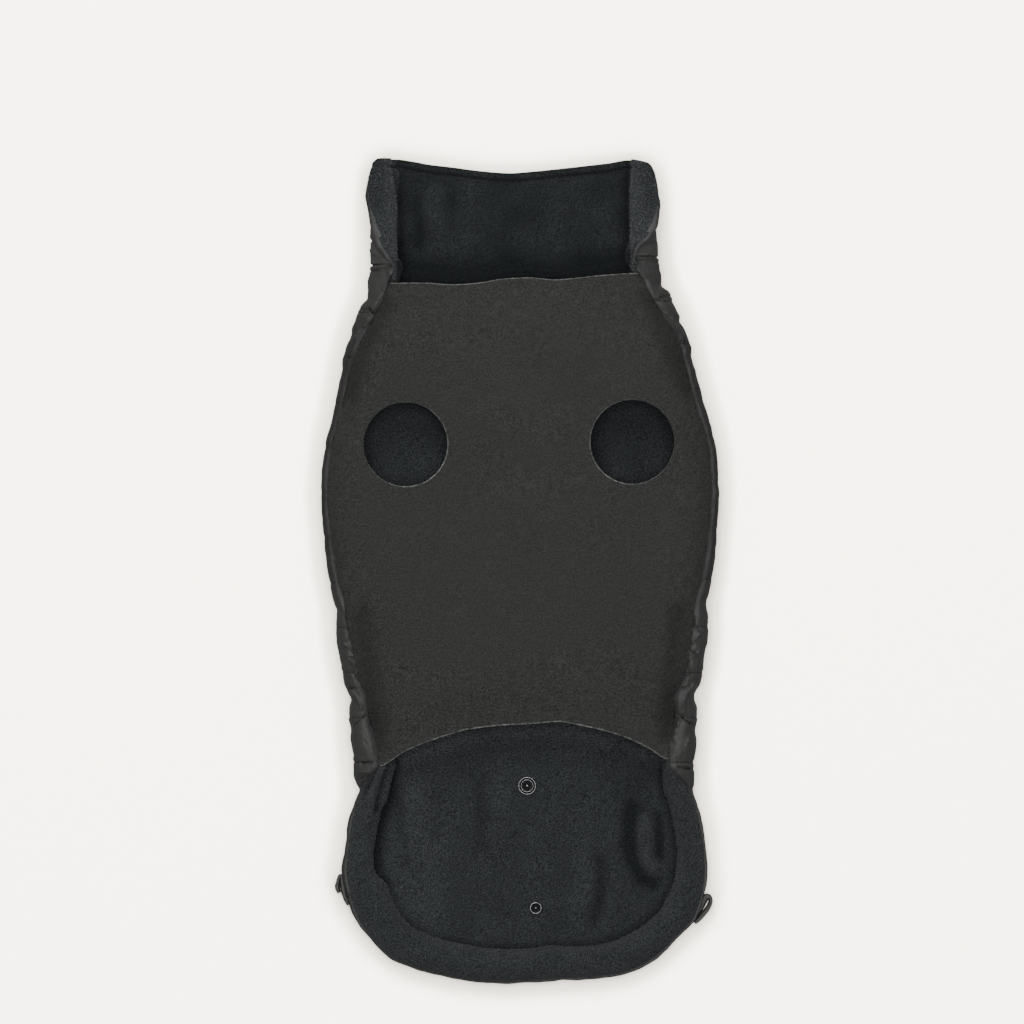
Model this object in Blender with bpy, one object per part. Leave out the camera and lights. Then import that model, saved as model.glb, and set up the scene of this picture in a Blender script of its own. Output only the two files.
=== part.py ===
"""Quilted winter coat for a small dog, laid on its back with the belly side up.

The frame is in metres with +Z up. +Y points to the collar, +X is the wearer's left as it lies. The origin is
under the middle of the coat, on the surface that it lies on. Lengths inside the script are in millimetres and
become metres when a mesh is made.

The coat is a tray of quilted shell with a fleece lining in it. Its sides wrap up and round to the seams of a
stretch belly panel. Behind the belly the tray goes on as the rump flap, whose edge carries a turned-in fleece
band. The collar stands in front of the neck seam, and its open front ends are turned outward like lapels.
"""

from collections import namedtuple
from math import acos, atan2, ceil, cos, floor, hypot, pi, radians, sin

import bmesh
import bpy
from mathutils import Vector
from mathutils.geometry import delaunay_2d_cdt

MM = 0.001

# Driving sizes, in millimetres.
NECK_SEAM = 172.1  # the neck seam's place along Y
PITCH = 25.5  # one quilted channel, 1 inch
WALL = 3.4  # nylon and padding, at the top of a puff
LINING = 2.2  # fleece
BELLY = 1.3  # stretch knit
GAP = 0.35  # between pieces at a seam and between layers
SEAM_PINCH = 1.2  # the shell is this much thinner at its seam
SEAM_LEAN = radians(2.5)  # and its edge leans back by this
LINING_OUT = WALL + GAP  # the lining's outer side, below the shell's outer line
LINING_IN = LINING_OUT + LINING
PUFF_POWER = 0.55  # under 1: round puffs and sharp stitch lines
QUILT_RISE = radians(70)  # the quilting deepens over this much of the wall's turn up from the surface
QUILT_END = 0.67  # and fades out again from this share of the upper arc to the seam

# The body and the upper rump flap, a row for each section from the neck seam (channel 0) to the rear.
# left, right: half widths. inset: from the widest line in to the seam's edge. across, side, crest: the side
# wall's upper arc reaches this far across, starts at the widest line's height and tops out at the crest.
# foot: from the widest line in to where the wall meets the surface. groove: depth of the quilting.
BODY_COLUMNS = (
    "channel", "left", "right", "inset_left", "inset_right", "across", "side", "crest", "foot", "groove",
)
BODY = (
    (0.00, 84.8, 79.2, 12.6, 11.4, 29.0, 12.0, 31.0, 12.0, 1.0),
    (0.35, 86.4, 80.6, 12.2, 8.9, 20.0, 12.0, 30.0, 12.0, 1.2),
    (0.70, 87.0, 86.4, 9.4, 10.8, 12.0, 12.0, 28.5, 12.0, 1.2),
    (1.00, 92.4, 90.0, 10.8, 9.8, 10.5, 12.0, 27.5, 12.0, 1.5),
    (1.50, 95.6, 94.4, 7.0, 4.2, 13.0, 12.5, 28.0, 13.0, 1.2),
    (2.00, 100.5, 97.3, 5.4, 3.4, 18.0, 12.5, 28.5, 14.0, 1.0),
    (3.00, 104.9, 104.4, 3.7, 4.0, 23.0, 12.5, 29.0, 15.0, 0.8),
    (4.00, 110.4, 110.7, 2.8, 2.6, 25.0, 13.0, 29.5, 16.0, 0.6),
    (5.00, 112.6, 112.5, 2.6, 2.7, 26.0, 13.0, 29.5, 16.0, 0.6),
    (6.00, 111.0, 111.1, 3.3, 3.1, 25.0, 13.0, 29.5, 16.0, 0.6),
    (7.00, 107.6, 108.2, 4.2, 4.5, 22.0, 12.5, 29.0, 15.0, 0.8),
    (7.50, 104.8, 105.7, 4.9, 5.6, 16.0, 12.5, 28.5, 14.5, 1.0),
    (8.00, 104.2, 106.5, 6.4, 7.8, 11.5, 12.5, 28.0, 14.0, 1.2),
    (9.00, 101.0, 103.6, 9.2, 9.5, 8.6, 12.5, 27.5, 13.0, 1.5),
    (9.25, 99.6, 101.8, 9.4, 10.4, 8.4, 12.5, 27.5, 13.0, 1.5),
    (9.55, 96.2, 98.6, 9.0, 11.4, 8.2, 12.0, 27.5, 12.5, 1.5),
    (10.00, 97.0, 100.6, 10.9, 13.4, 8.2, 12.0, 27.5, 12.0, 1.5),
    (11.00, 94.8, 98.7, 14.0, 14.9, 12.6, 12.0, 27.0, 12.0, 1.5),
    (11.60, 91.6, 98.0, 1.8, 2.2, 10.5, 10.0, 20.5, 12.0, 1.2),
    (12.00, 94.9, 100.8, 1.6, 0.8, 9.6, 8.5, 17.0, 11.0, 0.8),
    (13.00, 99.7, 105.4, 1.8, 0.6, 9.6, 8.0, 16.0, 11.0, 0.4),
    (13.40, 100.8, 105.7, 1.6, 0.5, 9.8, 8.0, 16.0, 11.0, 0.3),
)
# The turned-in hem band's width on each side, from the widest line in.
BAND_COLUMNS = ("channel", "left", "right")
BAND = (
    (11.00, 24.4, 17.6),
    (11.60, 16.8, 16.2),
    (12.00, 17.0, 15.6),
    (13.00, 16.8, 15.8),
    (13.40, 18.2, 16.8),
)

# The rump flap's end, a row for each direction seen from its centre: how far its widest line is, and how wide
# the hem band is there.
FLAP_CHANNEL = 13.4  # where the straight sections end
FLAP_CENTRE_X = 2.2
FLAP_COLUMNS = ("angle", "reach", "band")
FLAP = (
    (180.0, 103.0, 18.2),
    (187.0, 102.4, 24.2),
    (195.0, 100.0, 23.7),
    (207.0, 94.0, 22.4),
    (214.0, 90.6, 24.8),
    (221.0, 84.4, 23.6),
    (237.0, 73.4, 21.4),
    (259.0, 65.6, 19.2),
    (273.0, 63.8, 18.6),
    (287.0, 65.4, 20.0),
    (303.0, 73.4, 21.0),
    (316.0, 83.4, 22.0),
    (325.0, 89.4, 21.4),
    (337.0, 95.6, 19.0),
    (345.0, 101.2, 19.4),
    (360.0, 103.5, 16.8),
)
FLAP_INSET = 0.5
BAND_ACROSS = 0.54  # the band's arc reaches this much of its width across
FLAP_STEPS = 26
FACING_START = 11.16  # the channel at which the band begins, beside the belly's corner
FACING_PARTS = (0.0, 0.33, 0.66)  # its sections in each channel
FACING_STEPS = 8  # and points across
FACING_CLEAR = 0.6  # along the arc, beside the shell's edge
BAND_LOW = LINING_IN + 0.9  # the height of its inner edge, above the lining

# The collar, a row for each section from the neck seam (channel 0) to the top edge. bend: half widths of the
# line where the wall turns up. fold: from the bend in to the lapel's fold, and fold_height its height.
# turn: how far the wall turns outward at the fold, in degrees. lapel: the turned-out length past the fold.
COLLAR_COLUMNS = (
    "channel", "bend_left", "bend_right", "fold_left", "fold_right", "fold_height", "turn",
    "lapel_left", "lapel_right",
)
COLLAR = (
    (0.00, 84.8, 79.2, 12.4, 11.6, 27.4, 6.0, 0.5, 0.5),
    (-0.25, 84.7, 78.8, 11.8, 12.2, 26.0, 34.0, 1.0, 0.8),
    (-0.50, 84.6, 78.2, 9.4, 9.8, 23.0, 100.0, 3.6, 2.2),
    (-0.75, 84.7, 77.8, 8.7, 8.8, 21.6, 142.0, 3.4, 4.8),
    (-1.00, 84.8, 77.8, 8.6, 8.4, 21.0, 156.0, 5.4, 6.6),
    (-1.40, 84.4, 77.8, 8.0, 8.3, 20.6, 164.0, 9.8, 9.0),
    (-1.70, 83.8, 77.5, 6.2, 7.8, 20.0, 166.0, 8.4, 8.8),
    (-2.00, 83.2, 77.3, 4.0, 6.6, 19.0, 166.0, 5.4, 6.5),
    (-2.40, 82.2, 76.4, 3.2, 6.2, 18.0, 166.0, 2.8, 3.2),
)
COLLAR_FOOT = 12.0
COLLAR_SIDE = 11.0
COLLAR_GROOVE = 1.1
FOLD_RADIUS = 1.2
FOLD_START = radians(58)  # the wall's arc ends here and the fold begins
ARC_STEPS = 4
TURN_STEPS = 4
LAPEL_PARTS = (0.35, 0.7, 1.0)
LAPEL_DROOP = 0.08  # its edge hangs by this share of its length
TOP_MIDDLE = 225.4  # the collar's top edge along Y, in the middle
TOP_RISE = 8.0  # and how much further it reaches at the corners
TOP_SHARE = 0.7  # the rows past this share of the collar bend towards the top edge's line
CORNER_ROUND = 2.6  # the top corners are rounded off by this much

# The belly panel's free edges. Each is a row of (x, y) points, smoothed.
BELLY_FRONT = (
    (-71.6, 163.2), (-54.0, 163.4), (-38.6, 162.4), (-23.4, 163.4), (-8.4, 165.8),
    (5.8, 166.4), (19.8, 165.2), (32.4, 166.2), (50.2, 168.0), (66.4, 168.8),
)
BELLY_REAR = (
    (-80.0, -110.6), (-57.0, -100.6), (-43.0, -95.0), (-26.6, -90.2), (-4.9, -87.0),
    (11.6, -86.9), (24.2, -85.2), (34.0, -87.4), (42.8, -91.2), (59.0, -95.4), (83.0, -106.8),
)
BELLY_LEFT = (0.38, 11.03)  # its side seams run from channel to channel
BELLY_RIGHT = (0.20, 10.95)
SEAM_CLEAR = 0.7  # along the panel, beside the shell's edge
BELLY_FRONT_HEIGHT = 27.4
BELLY_MIDDLE_HEIGHT = 29.0
BELLY_REAR_HEIGHT = 27.0
BELLY_SHOULDER = 22.0  # the belly rises over this distance from its side seams
BELLY_FULLNESS = 2.2  # and is rounder there the higher this is
BELLY_FRONT_RANGE = (0.3, 2.3)  # the channels over which its front and rear heights blend into the middle's
BELLY_REAR_RANGE = (8.0, 11.0)
HEM_SAG = 2.6  # the free edges sag in the middle
HEM_SAG_REACH = 26.0

LEG_HOLE_RADIUS = 23.7
LEG_HOLES = ((-64.6, 71.8), (63.8, 73.2))
LEG_HOLE_SIDES = 28

# Soft folds that lift the fleece off the shell: a ridge along a line from one end to the other.
Fold = namedtuple("Fold", "x0 y0 x1 y1 height width")
FOLD_UNDER = 0.85  # the fleece's outer side rises by this share of a fold
FINE_LIFT = 0.4  # the floor has closer points where a fold is higher than this
FLAP_FOLDS = (
    Fold(71.6, -140.0, 71.0, -152.0, 4.0, 4.6),
    Fold(71.0, -152.0, 72.4, -163.0, 4.4, 4.6),
    Fold(72.4, -163.0, 75.5, -167.5, 3.4, 4.4),
    Fold(52.0, -176.0, 43.0, -196.0, 1.6, 8.0),
    Fold(-58.0, -122.0, -61.0, -158.0, 1.5, 8.0),
    Fold(-10.0, -118.0, -12.0, -150.0, 1.2, 9.0),
)
COLLAR_FOLDS = (
    Fold(-48.0, 212.0, -46.0, 184.0, 1.8, 6.0),
    Fold(-30.0, 216.0, -34.0, 186.0, 1.3, 8.0),
    Fold(24.0, 214.0, 20.0, 190.0, 1.2, 10.0),
)

SNAP_STUD = (4.3, -122.2)
SNAP_SOCKET = (9.2, -191.7)
STUD_RING = 4.8  # outer radius
SOCKET_RING = 3.6
SNAP_HEIGHT = 1.5

# Each tab is a strip of webbing folded on itself, on edge along the flap's side. Its place is an angle round
# the flap's centre, and reach is how far it stands out.
Tab = namedtuple("Tab", "name angle length reach")
TABS = (
    Tab("tab_left", 186.2, 16.0, 4.6),
    Tab("tab_right", 347.8, 17.5, 4.2),
)
WEBBING = 1.3
TAB_WIDTH = 7.0
TAB_BASE = 1.6
TAB_TURN_STEPS = 6

FINER = 3  # a fine filling has its points this much closer
LINING_STEP = 18.0  # between the points of the lining's floor
BELLY_STEP = 13.0

LOWER_STEPS = 3  # of the wall's turn from the surface up to its widest line
UPPER_STEPS = 3  # and from there to its seam
CHANNEL_PARTS = (0.0, 0.3, 0.7)  # sections in each channel
NEAREST_SECTIONS = 0.06  # of a channel


# --- Reading the tables -------------------------------------------------------------------------------------


def read_table(columns, rows, place):
    """The named values at a place along the table's first column, joined smoothly from row to row."""
    keys = [row[0] for row in rows]
    if keys[0] > keys[-1]:
        return read_table(columns, rows[::-1], place)
    place = min(max(place, keys[0]), keys[-1])
    i = max(k for k in range(len(rows) - 1) if keys[k] <= place)
    step = keys[i + 1] - keys[i]
    t = (place - keys[i]) / step

    def slope(k, c):
        if k in (0, len(rows) - 1):
            return 0.0
        before = (rows[k][c] - rows[k - 1][c]) / (keys[k] - keys[k - 1])
        after = (rows[k + 1][c] - rows[k][c]) / (keys[k + 1] - keys[k])
        if before * after <= 0:
            return 0.0
        return 2 * before * after / (before + after)

    values = {}
    for c, name in enumerate(columns):
        a, b = rows[i][c], rows[i + 1][c]
        ma, mb = slope(i, c) * step, slope(i + 1, c) * step
        values[name] = (
            a * (2 * t**3 - 3 * t**2 + 1) + ma * (t**3 - 2 * t**2 + t)
            + b * (3 * t**2 - 2 * t**3) + mb * (t**3 - t**2)
        )
    return values


def along_points(points, x):
    """The height of a smoothed row of (x, y) points at x."""
    return read_table(("x", "y"), points, x)["y"]


def smooth(t):
    """0 below 0, 1 above 1, and an even rise between."""
    t = min(max(t, 0.0), 1.0)
    return t * t * (3 - 2 * t)


def quilting(y):
    """How deep the quilting is at y, from 0 on top of a puff to 1 at a stitch line."""
    return 1 - abs(sin(pi * (NECK_SEAM - y) / PITCH)) ** PUFF_POWER


# --- The body's sections ------------------------------------------------------------------------------------

Section = namedtuple("Section", "x y inward_x inward_y inset across side crest foot groove band")


def body_section(channel, side):
    """The section of one side at a place counted in channels; side is -1 for left and 1 for right."""
    row = read_table(BODY_COLUMNS, BODY, channel)
    hand = "left" if side < 0 else "right"
    return Section(
        side * row[hand], NECK_SEAM - channel * PITCH, -side, 0.0, row["inset_" + hand], row["across"],
        row["side"], row["crest"], row["foot"], row["groove"], read_table(BAND_COLUMNS, BAND, channel)[hand],
    )


def flap_section(angle):
    """The section of the rump flap's end in a direction seen from its centre, in degrees."""
    c, s = cos(radians(angle)), sin(radians(angle))
    last = body_section(FLAP_CHANNEL, -1 if c < 0 else 1)
    row = read_table(FLAP_COLUMNS, FLAP, angle)
    end = smooth(abs(s) * 2)
    return last._replace(
        x=FLAP_CENTRE_X + row["reach"] * c, y=last.y + row["reach"] * s, inward_x=-c, inward_y=-s,
        inset=last.inset + (FLAP_INSET - last.inset) * end,
        across=last.across + (BAND_ACROSS * row["band"] - last.across) * end, band=row["band"],
    )


def channels_between(first, last, parts=CHANNEL_PARTS):
    """The sections' places from first to last, counted in channels."""
    places = [whole + part for whole in range(floor(first), ceil(last) + 1) for part in parts]
    between = [p for p in places if first + NEAREST_SECTIONS < p < last - NEAREST_SECTIONS]
    return [first, *between, last]


def sections(first, last, parts, flap_steps):
    """Sections down the left side, round the flap and up the right side."""
    channels = channels_between(first, last, parts)
    left = [body_section(c, -1) for c in channels]
    right = [body_section(c, 1) for c in reversed(channels)]
    turn = [flap_section(180 + 180 * (i + 1) / flap_steps) for i in range(flap_steps - 1)]
    return left + turn + right


def seam_angle(section, inset):
    """Where the upper arc reaches an inset, in radians past the widest line."""
    return acos(min(max(1 - inset / section.across, -1), 1))


def wall_point(section, angle, depth):
    """A point of the side wall, from -90 degrees at its foot over 0 at its widest line, and depth in."""
    if angle < 0:
        inward = depth + (section.foot - depth) * (1 - cos(angle))
        height = depth + (section.side - depth) * (1 + sin(angle))
    else:
        inward = depth + (section.across - depth) * (1 - cos(angle))
        height = section.side + (section.crest - section.side - depth) * sin(angle)
    return (section.x + section.inward_x * inward, section.y + section.inward_y * inward, height)


def foot_angle(share):
    """An angle of the lower arc, from the foot (0) to the widest line (1)."""
    return -pi / 2 * (1 - share)


def shell_outer(section, angle, end):
    """A point on the quilted outer side, which is plain where it rests and at its seam."""
    y = wall_point(section, angle, 0)[1]
    raised = smooth((angle + pi / 2) / QUILT_RISE) * (1 - smooth((angle / end - QUILT_END) / (1 - QUILT_END)))
    return wall_point(section, angle, section.groove * quilting(y) * raised)


def wall_angles(section, end):
    """The angles of a wall's points, from its foot to its end."""
    lower = [foot_angle(j / LOWER_STEPS) for j in range(LOWER_STEPS)]
    return lower + [end * j / UPPER_STEPS for j in range(UPPER_STEPS + 1)]


# --- Meshes -------------------------------------------------------------------------------------------------


def material(name, colour, roughness, metallic=0.0, sheen=0.0):
    made = bpy.data.materials.new(name)
    made.use_nodes = True
    shader = made.node_tree.nodes["Principled BSDF"]
    shader.inputs["Base Color"].default_value = (*colour, 1)
    shader.inputs["Roughness"].default_value = roughness
    shader.inputs["Metallic"].default_value = metallic
    shader.inputs["Sheen Weight"].default_value = sheen
    return made


def solid(name, points, faces, surface):
    """One object from points in millimetres and faces that close round it."""
    mesh = bpy.data.meshes.new(name)
    mesh.from_pydata([Vector(p) * MM for p in points], [], faces)
    shape = bmesh.new()
    shape.from_mesh(mesh)
    bmesh.ops.recalc_face_normals(shape, faces=shape.faces)
    bmesh.ops.triangulate(shape, faces=shape.faces)
    shape.to_mesh(mesh)
    shape.free()
    mesh.shade_smooth()
    mesh.set_sharp_from_angle(angle=radians(40))
    mesh.materials.append(surface)
    made = bpy.data.objects.new(name, mesh)
    bpy.context.collection.objects.link(made)
    return made


def sheet(name, outer, inner, surface):
    """A wall between two grids of points, closed along its four edges."""
    rows, columns = len(outer), len(outer[0])
    points = [p for row in outer for p in row] + [p for row in inner for p in row]
    shift = rows * columns
    faces = []
    for i in range(rows - 1):
        for j in range(columns - 1):
            a, b = i * columns + j, (i + 1) * columns + j
            faces.append((a, a + 1, b + 1, b))
            faces.append((a + shift, b + shift, b + 1 + shift, a + 1 + shift))
    edge = [j for j in range(columns)]
    edge += [i * columns + columns - 1 for i in range(1, rows)]
    edge += [(rows - 1) * columns + j for j in range(columns - 2, -1, -1)]
    edge += [i * columns for i in range(rows - 2, 0, -1)]
    faces += rim(edge, [k + shift for k in edge])
    return solid(name, points, faces, surface)


def rim(upper, lower, closed=True):
    """Faces that join two edges with the same number of points."""
    count = len(upper) if closed else len(upper) - 1
    return [
        (upper[k], lower[k], lower[(k + 1) % len(lower)], upper[(k + 1) % len(upper)]) for k in range(count)
    ]


def fill(outline, step, holes=(), fine=lambda x, y: False):
    """Triangles inside an outline, with even points between them, and closer ones where it is to be fine.

    Gives the points, the triangles and the outline's and the holes' points in order.
    """
    flat = [Vector(p[:2]) for p in outline]
    loops = [list(range(len(outline)))]
    for hole in holes:
        loops.append(list(range(len(flat), len(flat) + len(hole))))
        flat += [Vector(p[:2]) for p in hole]
    edges = [(loop[k], loop[(k + 1) % len(loop)]) for loop in loops for k in range(len(loop))]
    border = list(flat)
    left, right = min(p.x for p in border), max(p.x for p in border)
    bottom, top = min(p.y for p in border), max(p.y for p in border)
    across, up = step / FINER, step / FINER * 0.866
    for r in range(1, int((top - bottom) / up) + 1):
        for c in range(int((right - left) / across) + 2):
            spot = Vector((left + (c + 0.5 * (r % 2)) * across, bottom + r * up))
            coarse = r % FINER == 0 and c % FINER == 0
            if not (coarse or fine(*spot)) or not inside(spot, border, loops):
                continue
            room = step * 0.55 if coarse else across * 0.8
            if min((spot - p).length for p in border) > room:
                flat.append(spot)
    points, _, triangles, *_ = delaunay_2d_cdt(flat, edges, [], 0, 1e-5)
    kept = []
    for triangle in triangles:
        middle = sum((points[k] for k in triangle), Vector((0, 0))) / 3
        if inside(middle, border, loops):
            kept.append(tuple(triangle))
    return points, kept, loops


def inside(spot, points, loops):
    """Whether a spot is inside the first loop and outside the others."""
    crossings = 0
    for loop in loops:
        for k, start in enumerate(loop):
            a, b = points[start], points[loop[(k + 1) % len(loop)]]
            if (a.y > spot.y) != (b.y > spot.y):
                if spot.x < a.x + (spot.y - a.y) * (b.x - a.x) / (b.y - a.y):
                    crossings += 1
    return crossings % 2 == 1


def folds_lift(folds, x, y):
    """How far the folds lift the fleece at a place."""
    lift = 0.0
    for fold in folds:
        dx, dy = fold.x1 - fold.x0, fold.y1 - fold.y0
        t = ((x - fold.x0) * dx + (y - fold.y0) * dy) / (dx * dx + dy * dy)
        t = min(max(t, 0.0), 1.0)
        off = hypot(x - fold.x0 - t * dx, y - fold.y0 - t * dy)
        lift = max(lift, fold.height * (1 - smooth(off / (2 * fold.width))))
    return lift


# --- The shell and the lining of the back -------------------------------------------------------------------


def make_shell_back(surface):
    rows = sections(GAP / 2 / PITCH, FLAP_CHANNEL, CHANNEL_PARTS, FLAP_STEPS)
    count, steps = len(rows), LOWER_STEPS + UPPER_STEPS
    outer, inner = [], []
    for section in rows:
        end = seam_angle(section, section.inset)
        for angle in wall_angles(section, end):
            outer.append(shell_outer(section, angle, end))
            if angle < end:
                inner.append(wall_point(section, angle, WALL))
            else:
                inner.append(wall_point(section, angle - SEAM_LEAN, WALL - SEAM_PINCH))
    width, shift = steps + 1, len(outer)
    faces = []
    for i in range(count - 1):
        for j in range(steps):
            a, b = i * width + j, (i + 1) * width + j
            faces.append((a, b, b + 1, a + 1))
            faces.append((a + shift, a + 1 + shift, b + 1 + shift, b + shift))
    feet = [i * width for i in range(count)]
    faces.append(tuple(feet))
    faces.append(tuple(k + shift for k in reversed(feet)))
    last = (count - 1) * width
    edge = [j for j in range(width)]
    edge += [i * width + steps for i in range(1, count)]
    edge += [last + j for j in range(steps - 1, -1, -1)]
    faces += rim(edge, [k + shift for k in edge])
    return solid("shell_back", outer + inner, faces, surface)


def make_lining_back(surface):
    rows = sections(GAP / 2 / PITCH, FLAP_CHANNEL, CHANNEL_PARTS, FLAP_STEPS)
    count, steps = len(rows), LOWER_STEPS + UPPER_STEPS
    outer, inner = [], []
    for section in rows:
        for angle in wall_angles(section, seam_angle(section, section.inset)):
            outer.append(wall_point(section, angle, LINING_OUT))
            inner.append(wall_point(section, angle, LINING_IN))
    width = steps + 1
    feet = [outer[i * width] for i in range(count)]
    flat, triangles, _ = fill(feet, LINING_STEP, fine=lambda x, y: folds_lift(FLAP_FOLDS, x, y) > FINE_LIFT)
    # The floor's own points follow the ladder's, and its edge is the ladder's feet.
    floor_points = flat[count:]
    lifts = [folds_lift(FLAP_FOLDS, p.x, p.y) for p in floor_points]
    middle = [(p.x, p.y) for p in floor_points]
    shift = count * width
    points = outer + inner
    low = len(points)
    points += [(x, y, LINING_OUT + lift * FOLD_UNDER) for (x, y), lift in zip(middle, lifts)]
    high = len(points)
    points += [(x, y, LINING_IN + lift) for (x, y), lift in zip(middle, lifts)]
    faces = []
    for i in range(count - 1):
        for j in range(steps):
            a, b = i * width + j, (i + 1) * width + j
            faces.append((a, b, b + 1, a + 1))
            faces.append((a + shift, a + 1 + shift, b + 1 + shift, b + shift))
    for triangle in triangles:
        below = [k * width if k < count else low + k - count for k in triangle]
        above = [k * width + shift if k < count else high + k - count for k in triangle]
        faces.append(tuple(below))
        faces.append(tuple(reversed(above)))
    last = (count - 1) * width
    edge = [j for j in range(width)]
    edge += [i * width + steps for i in range(1, count)]
    edge += [last + j for j in range(steps - 1, -1, -1)]
    faces += rim(edge, [k + shift for k in edge])
    return solid("lining_back", points, faces, surface)


# --- The collar ---------------------------------------------------------------------------------------------


def collar_line(row, side):
    """The collar's bend and, from the foot to the lapel's edge, its outer line and the line's outward normals.

    A point is (inward from the bend, height, normal's inward part, normal's height part).
    """
    hand = "left" if side < 0 else "right"
    line = []

    def arc(angle, reach, rise):
        normal_x, normal_z = -cos(angle) / reach, sin(angle) / rise
        long = hypot(normal_x, normal_z)
        spot = (reach * (1 - cos(angle)), COLLAR_SIDE + rise * sin(angle))
        line.append((*spot, normal_x / long, normal_z / long))

    for j in range(LOWER_STEPS):
        arc(foot_angle(j / LOWER_STEPS), COLLAR_FOOT, COLLAR_SIDE)
    reach = row["fold_" + hand] / (1 - cos(FOLD_START))
    rise = (row["fold_height"] - COLLAR_SIDE) / sin(FOLD_START)
    for j in range(ARC_STEPS + 1):
        arc(FOLD_START * j / ARC_STEPS, reach, rise)
    x, z, normal_x, normal_z = line[-1]
    heading = atan2(-normal_x, normal_z)
    centre_x, centre_z = x + FOLD_RADIUS * normal_x, z + FOLD_RADIUS * normal_z
    for j in range(1, TURN_STEPS + 1):
        now = heading + radians(row["turn"]) * j / TURN_STEPS
        line.append((centre_x + FOLD_RADIUS * sin(now), centre_z - FOLD_RADIUS * cos(now), -sin(now), cos(now)))
    x, z, normal_x, normal_z = line[-1]
    for share in LAPEL_PARTS:
        long = row["lapel_" + hand] * share
        droop = LAPEL_DROOP * long * share
        line.append((x + long * normal_z, z - long * normal_x - droop, normal_x, normal_z))
    return row["bend_" + hand], line


def collar_depth(depth, y, k):
    """How far below its outer line a layer of the collar lies; the shell's outer side has its quilting."""
    if depth:
        return depth
    raised = smooth(k / LOWER_STEPS) * smooth((LOWER_STEPS + ARC_STEPS - k) / 2)
    return COLLAR_GROOVE * quilting(y) * raised


def top_edge(x):
    """The collar's top edge along Y."""
    return TOP_MIDDLE + TOP_RISE * min(abs(x) / 80.0, 1.08) ** 1.5


def collar_grid(rows, floor_columns, depth, folds):
    """The collar's surface at a depth below its outer line, as rows across from one lapel to the other."""
    grid = []
    last = rows[-1]
    for channel in rows:
        row = read_table(COLLAR_COLUMNS, COLLAR, channel)
        y = NECK_SEAM - channel * PITCH
        sides = []
        for side in (-1, 1):
            bend, line = collar_line(row, side)
            deep = [collar_depth(depth, y, k) for k in range(len(line))]
            sides.append([(side * (bend - a + d * na), b - d * nb) for (a, b, na, nb), d in zip(line, deep)])
        left, right = sides
        across = left[::-1]
        start, end = left[0][0], right[0][0]
        for k in range(1, floor_columns):
            x = start + (end - start) * k / floor_columns
            lift = folds_lift(folds, x, y) if depth else 0.0
            share = 1.0 if depth > LINING_OUT else FOLD_UNDER
            across.append((x, left[0][1] + lift * share))
        across += right
        toward_top = smooth((channel / last - TOP_SHARE) / (1 - TOP_SHARE))
        points = []
        for k, (x, z) in enumerate(across):
            beyond = top_edge(x) - (NECK_SEAM - last * PITCH)
            from_end = min(k, len(across) - 1 - k) / (len(LAPEL_PARTS) - 0.5)
            corner = CORNER_ROUND * max(0.0, 1 - from_end) ** 2
            points.append((x, y + (beyond - corner) * toward_top, z))
        grid.append(points)
    return grid


def make_collar(shell_surface, lining_surface):
    first = -(GAP / 2) / PITCH
    top = (NECK_SEAM - TOP_MIDDLE) / PITCH
    rows = [first, -0.25, -0.5, -0.75, -1.0, -1.3, -1.7, -2.0, top]
    outer = collar_grid(rows, 4, 0.0, ())
    inner = collar_grid(rows, 4, WALL, ())
    sheet("collar_shell", outer, inner, shell_surface)
    outer = collar_grid(rows, 12, LINING_OUT, COLLAR_FOLDS)
    inner = collar_grid(rows, 12, LINING_IN, COLLAR_FOLDS)
    sheet("lining_collar", outer, inner, lining_surface)


# --- The belly panel ----------------------------------------------------------------------------------------


def seam_place(channel, side, clear):
    """A point of the belly's edge beside the shell's seam."""
    section = body_section(channel, side)
    return wall_point(section, seam_angle(section, section.inset + clear), 0)


def belly_height(x, y):
    """The height of the belly's upper side."""
    channel = (NECK_SEAM - y) / PITCH
    seam_x, _, seam_z = seam_place(channel, -1, GAP)
    near_left = (x - seam_x, seam_z)
    seam_x, _, seam_z = seam_place(channel, 1, GAP)
    near_right = (seam_x - x, seam_z)
    total = near_left[0] + near_right[0]
    mix = near_left[0] / total
    edge = near_left[1] * (1 - smooth(mix)) + near_right[1] * smooth(mix)
    front = 1 - smooth((channel - BELLY_FRONT_RANGE[0]) / (BELLY_FRONT_RANGE[1] - BELLY_FRONT_RANGE[0]))
    rear = smooth((channel - BELLY_REAR_RANGE[0]) / (BELLY_REAR_RANGE[1] - BELLY_REAR_RANGE[0]))
    middle = BELLY_MIDDLE_HEIGHT + (BELLY_FRONT_HEIGHT - BELLY_MIDDLE_HEIGHT) * front
    middle += (BELLY_REAR_HEIGHT - BELLY_MIDDLE_HEIGHT) * rear
    q = min(min(near_left[0], near_right[0]) / BELLY_SHOULDER, 1.0)
    height = edge + (middle - edge) * (1 - (1 - q) ** BELLY_FULLNESS)
    across = max(0.0, 1 - (2 * mix - 1) ** 2)
    to_front = max(0.0, along_points(BELLY_FRONT, x) - y) / HEM_SAG_REACH
    to_rear = max(0.0, y - along_points(BELLY_REAR, x)) / HEM_SAG_REACH
    sag = smooth(1 - to_front) + smooth(1 - to_rear)
    return height - HEM_SAG * across * sag


def belly_under(x, y):
    """The point under (x, y) on the belly's inner side, one cloth's thickness along the surface's normal."""
    step = 0.5
    slope_x = (belly_height(x + step, y) - belly_height(x - step, y)) / (2 * step)
    slope_y = (belly_height(x, y + step) - belly_height(x, y - step)) / (2 * step)
    long = (1 + slope_x**2 + slope_y**2) ** 0.5
    return (
        x + BELLY * slope_x / long,
        y + BELLY * slope_y / long,
        belly_height(x, y) - BELLY / long,
    )


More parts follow.
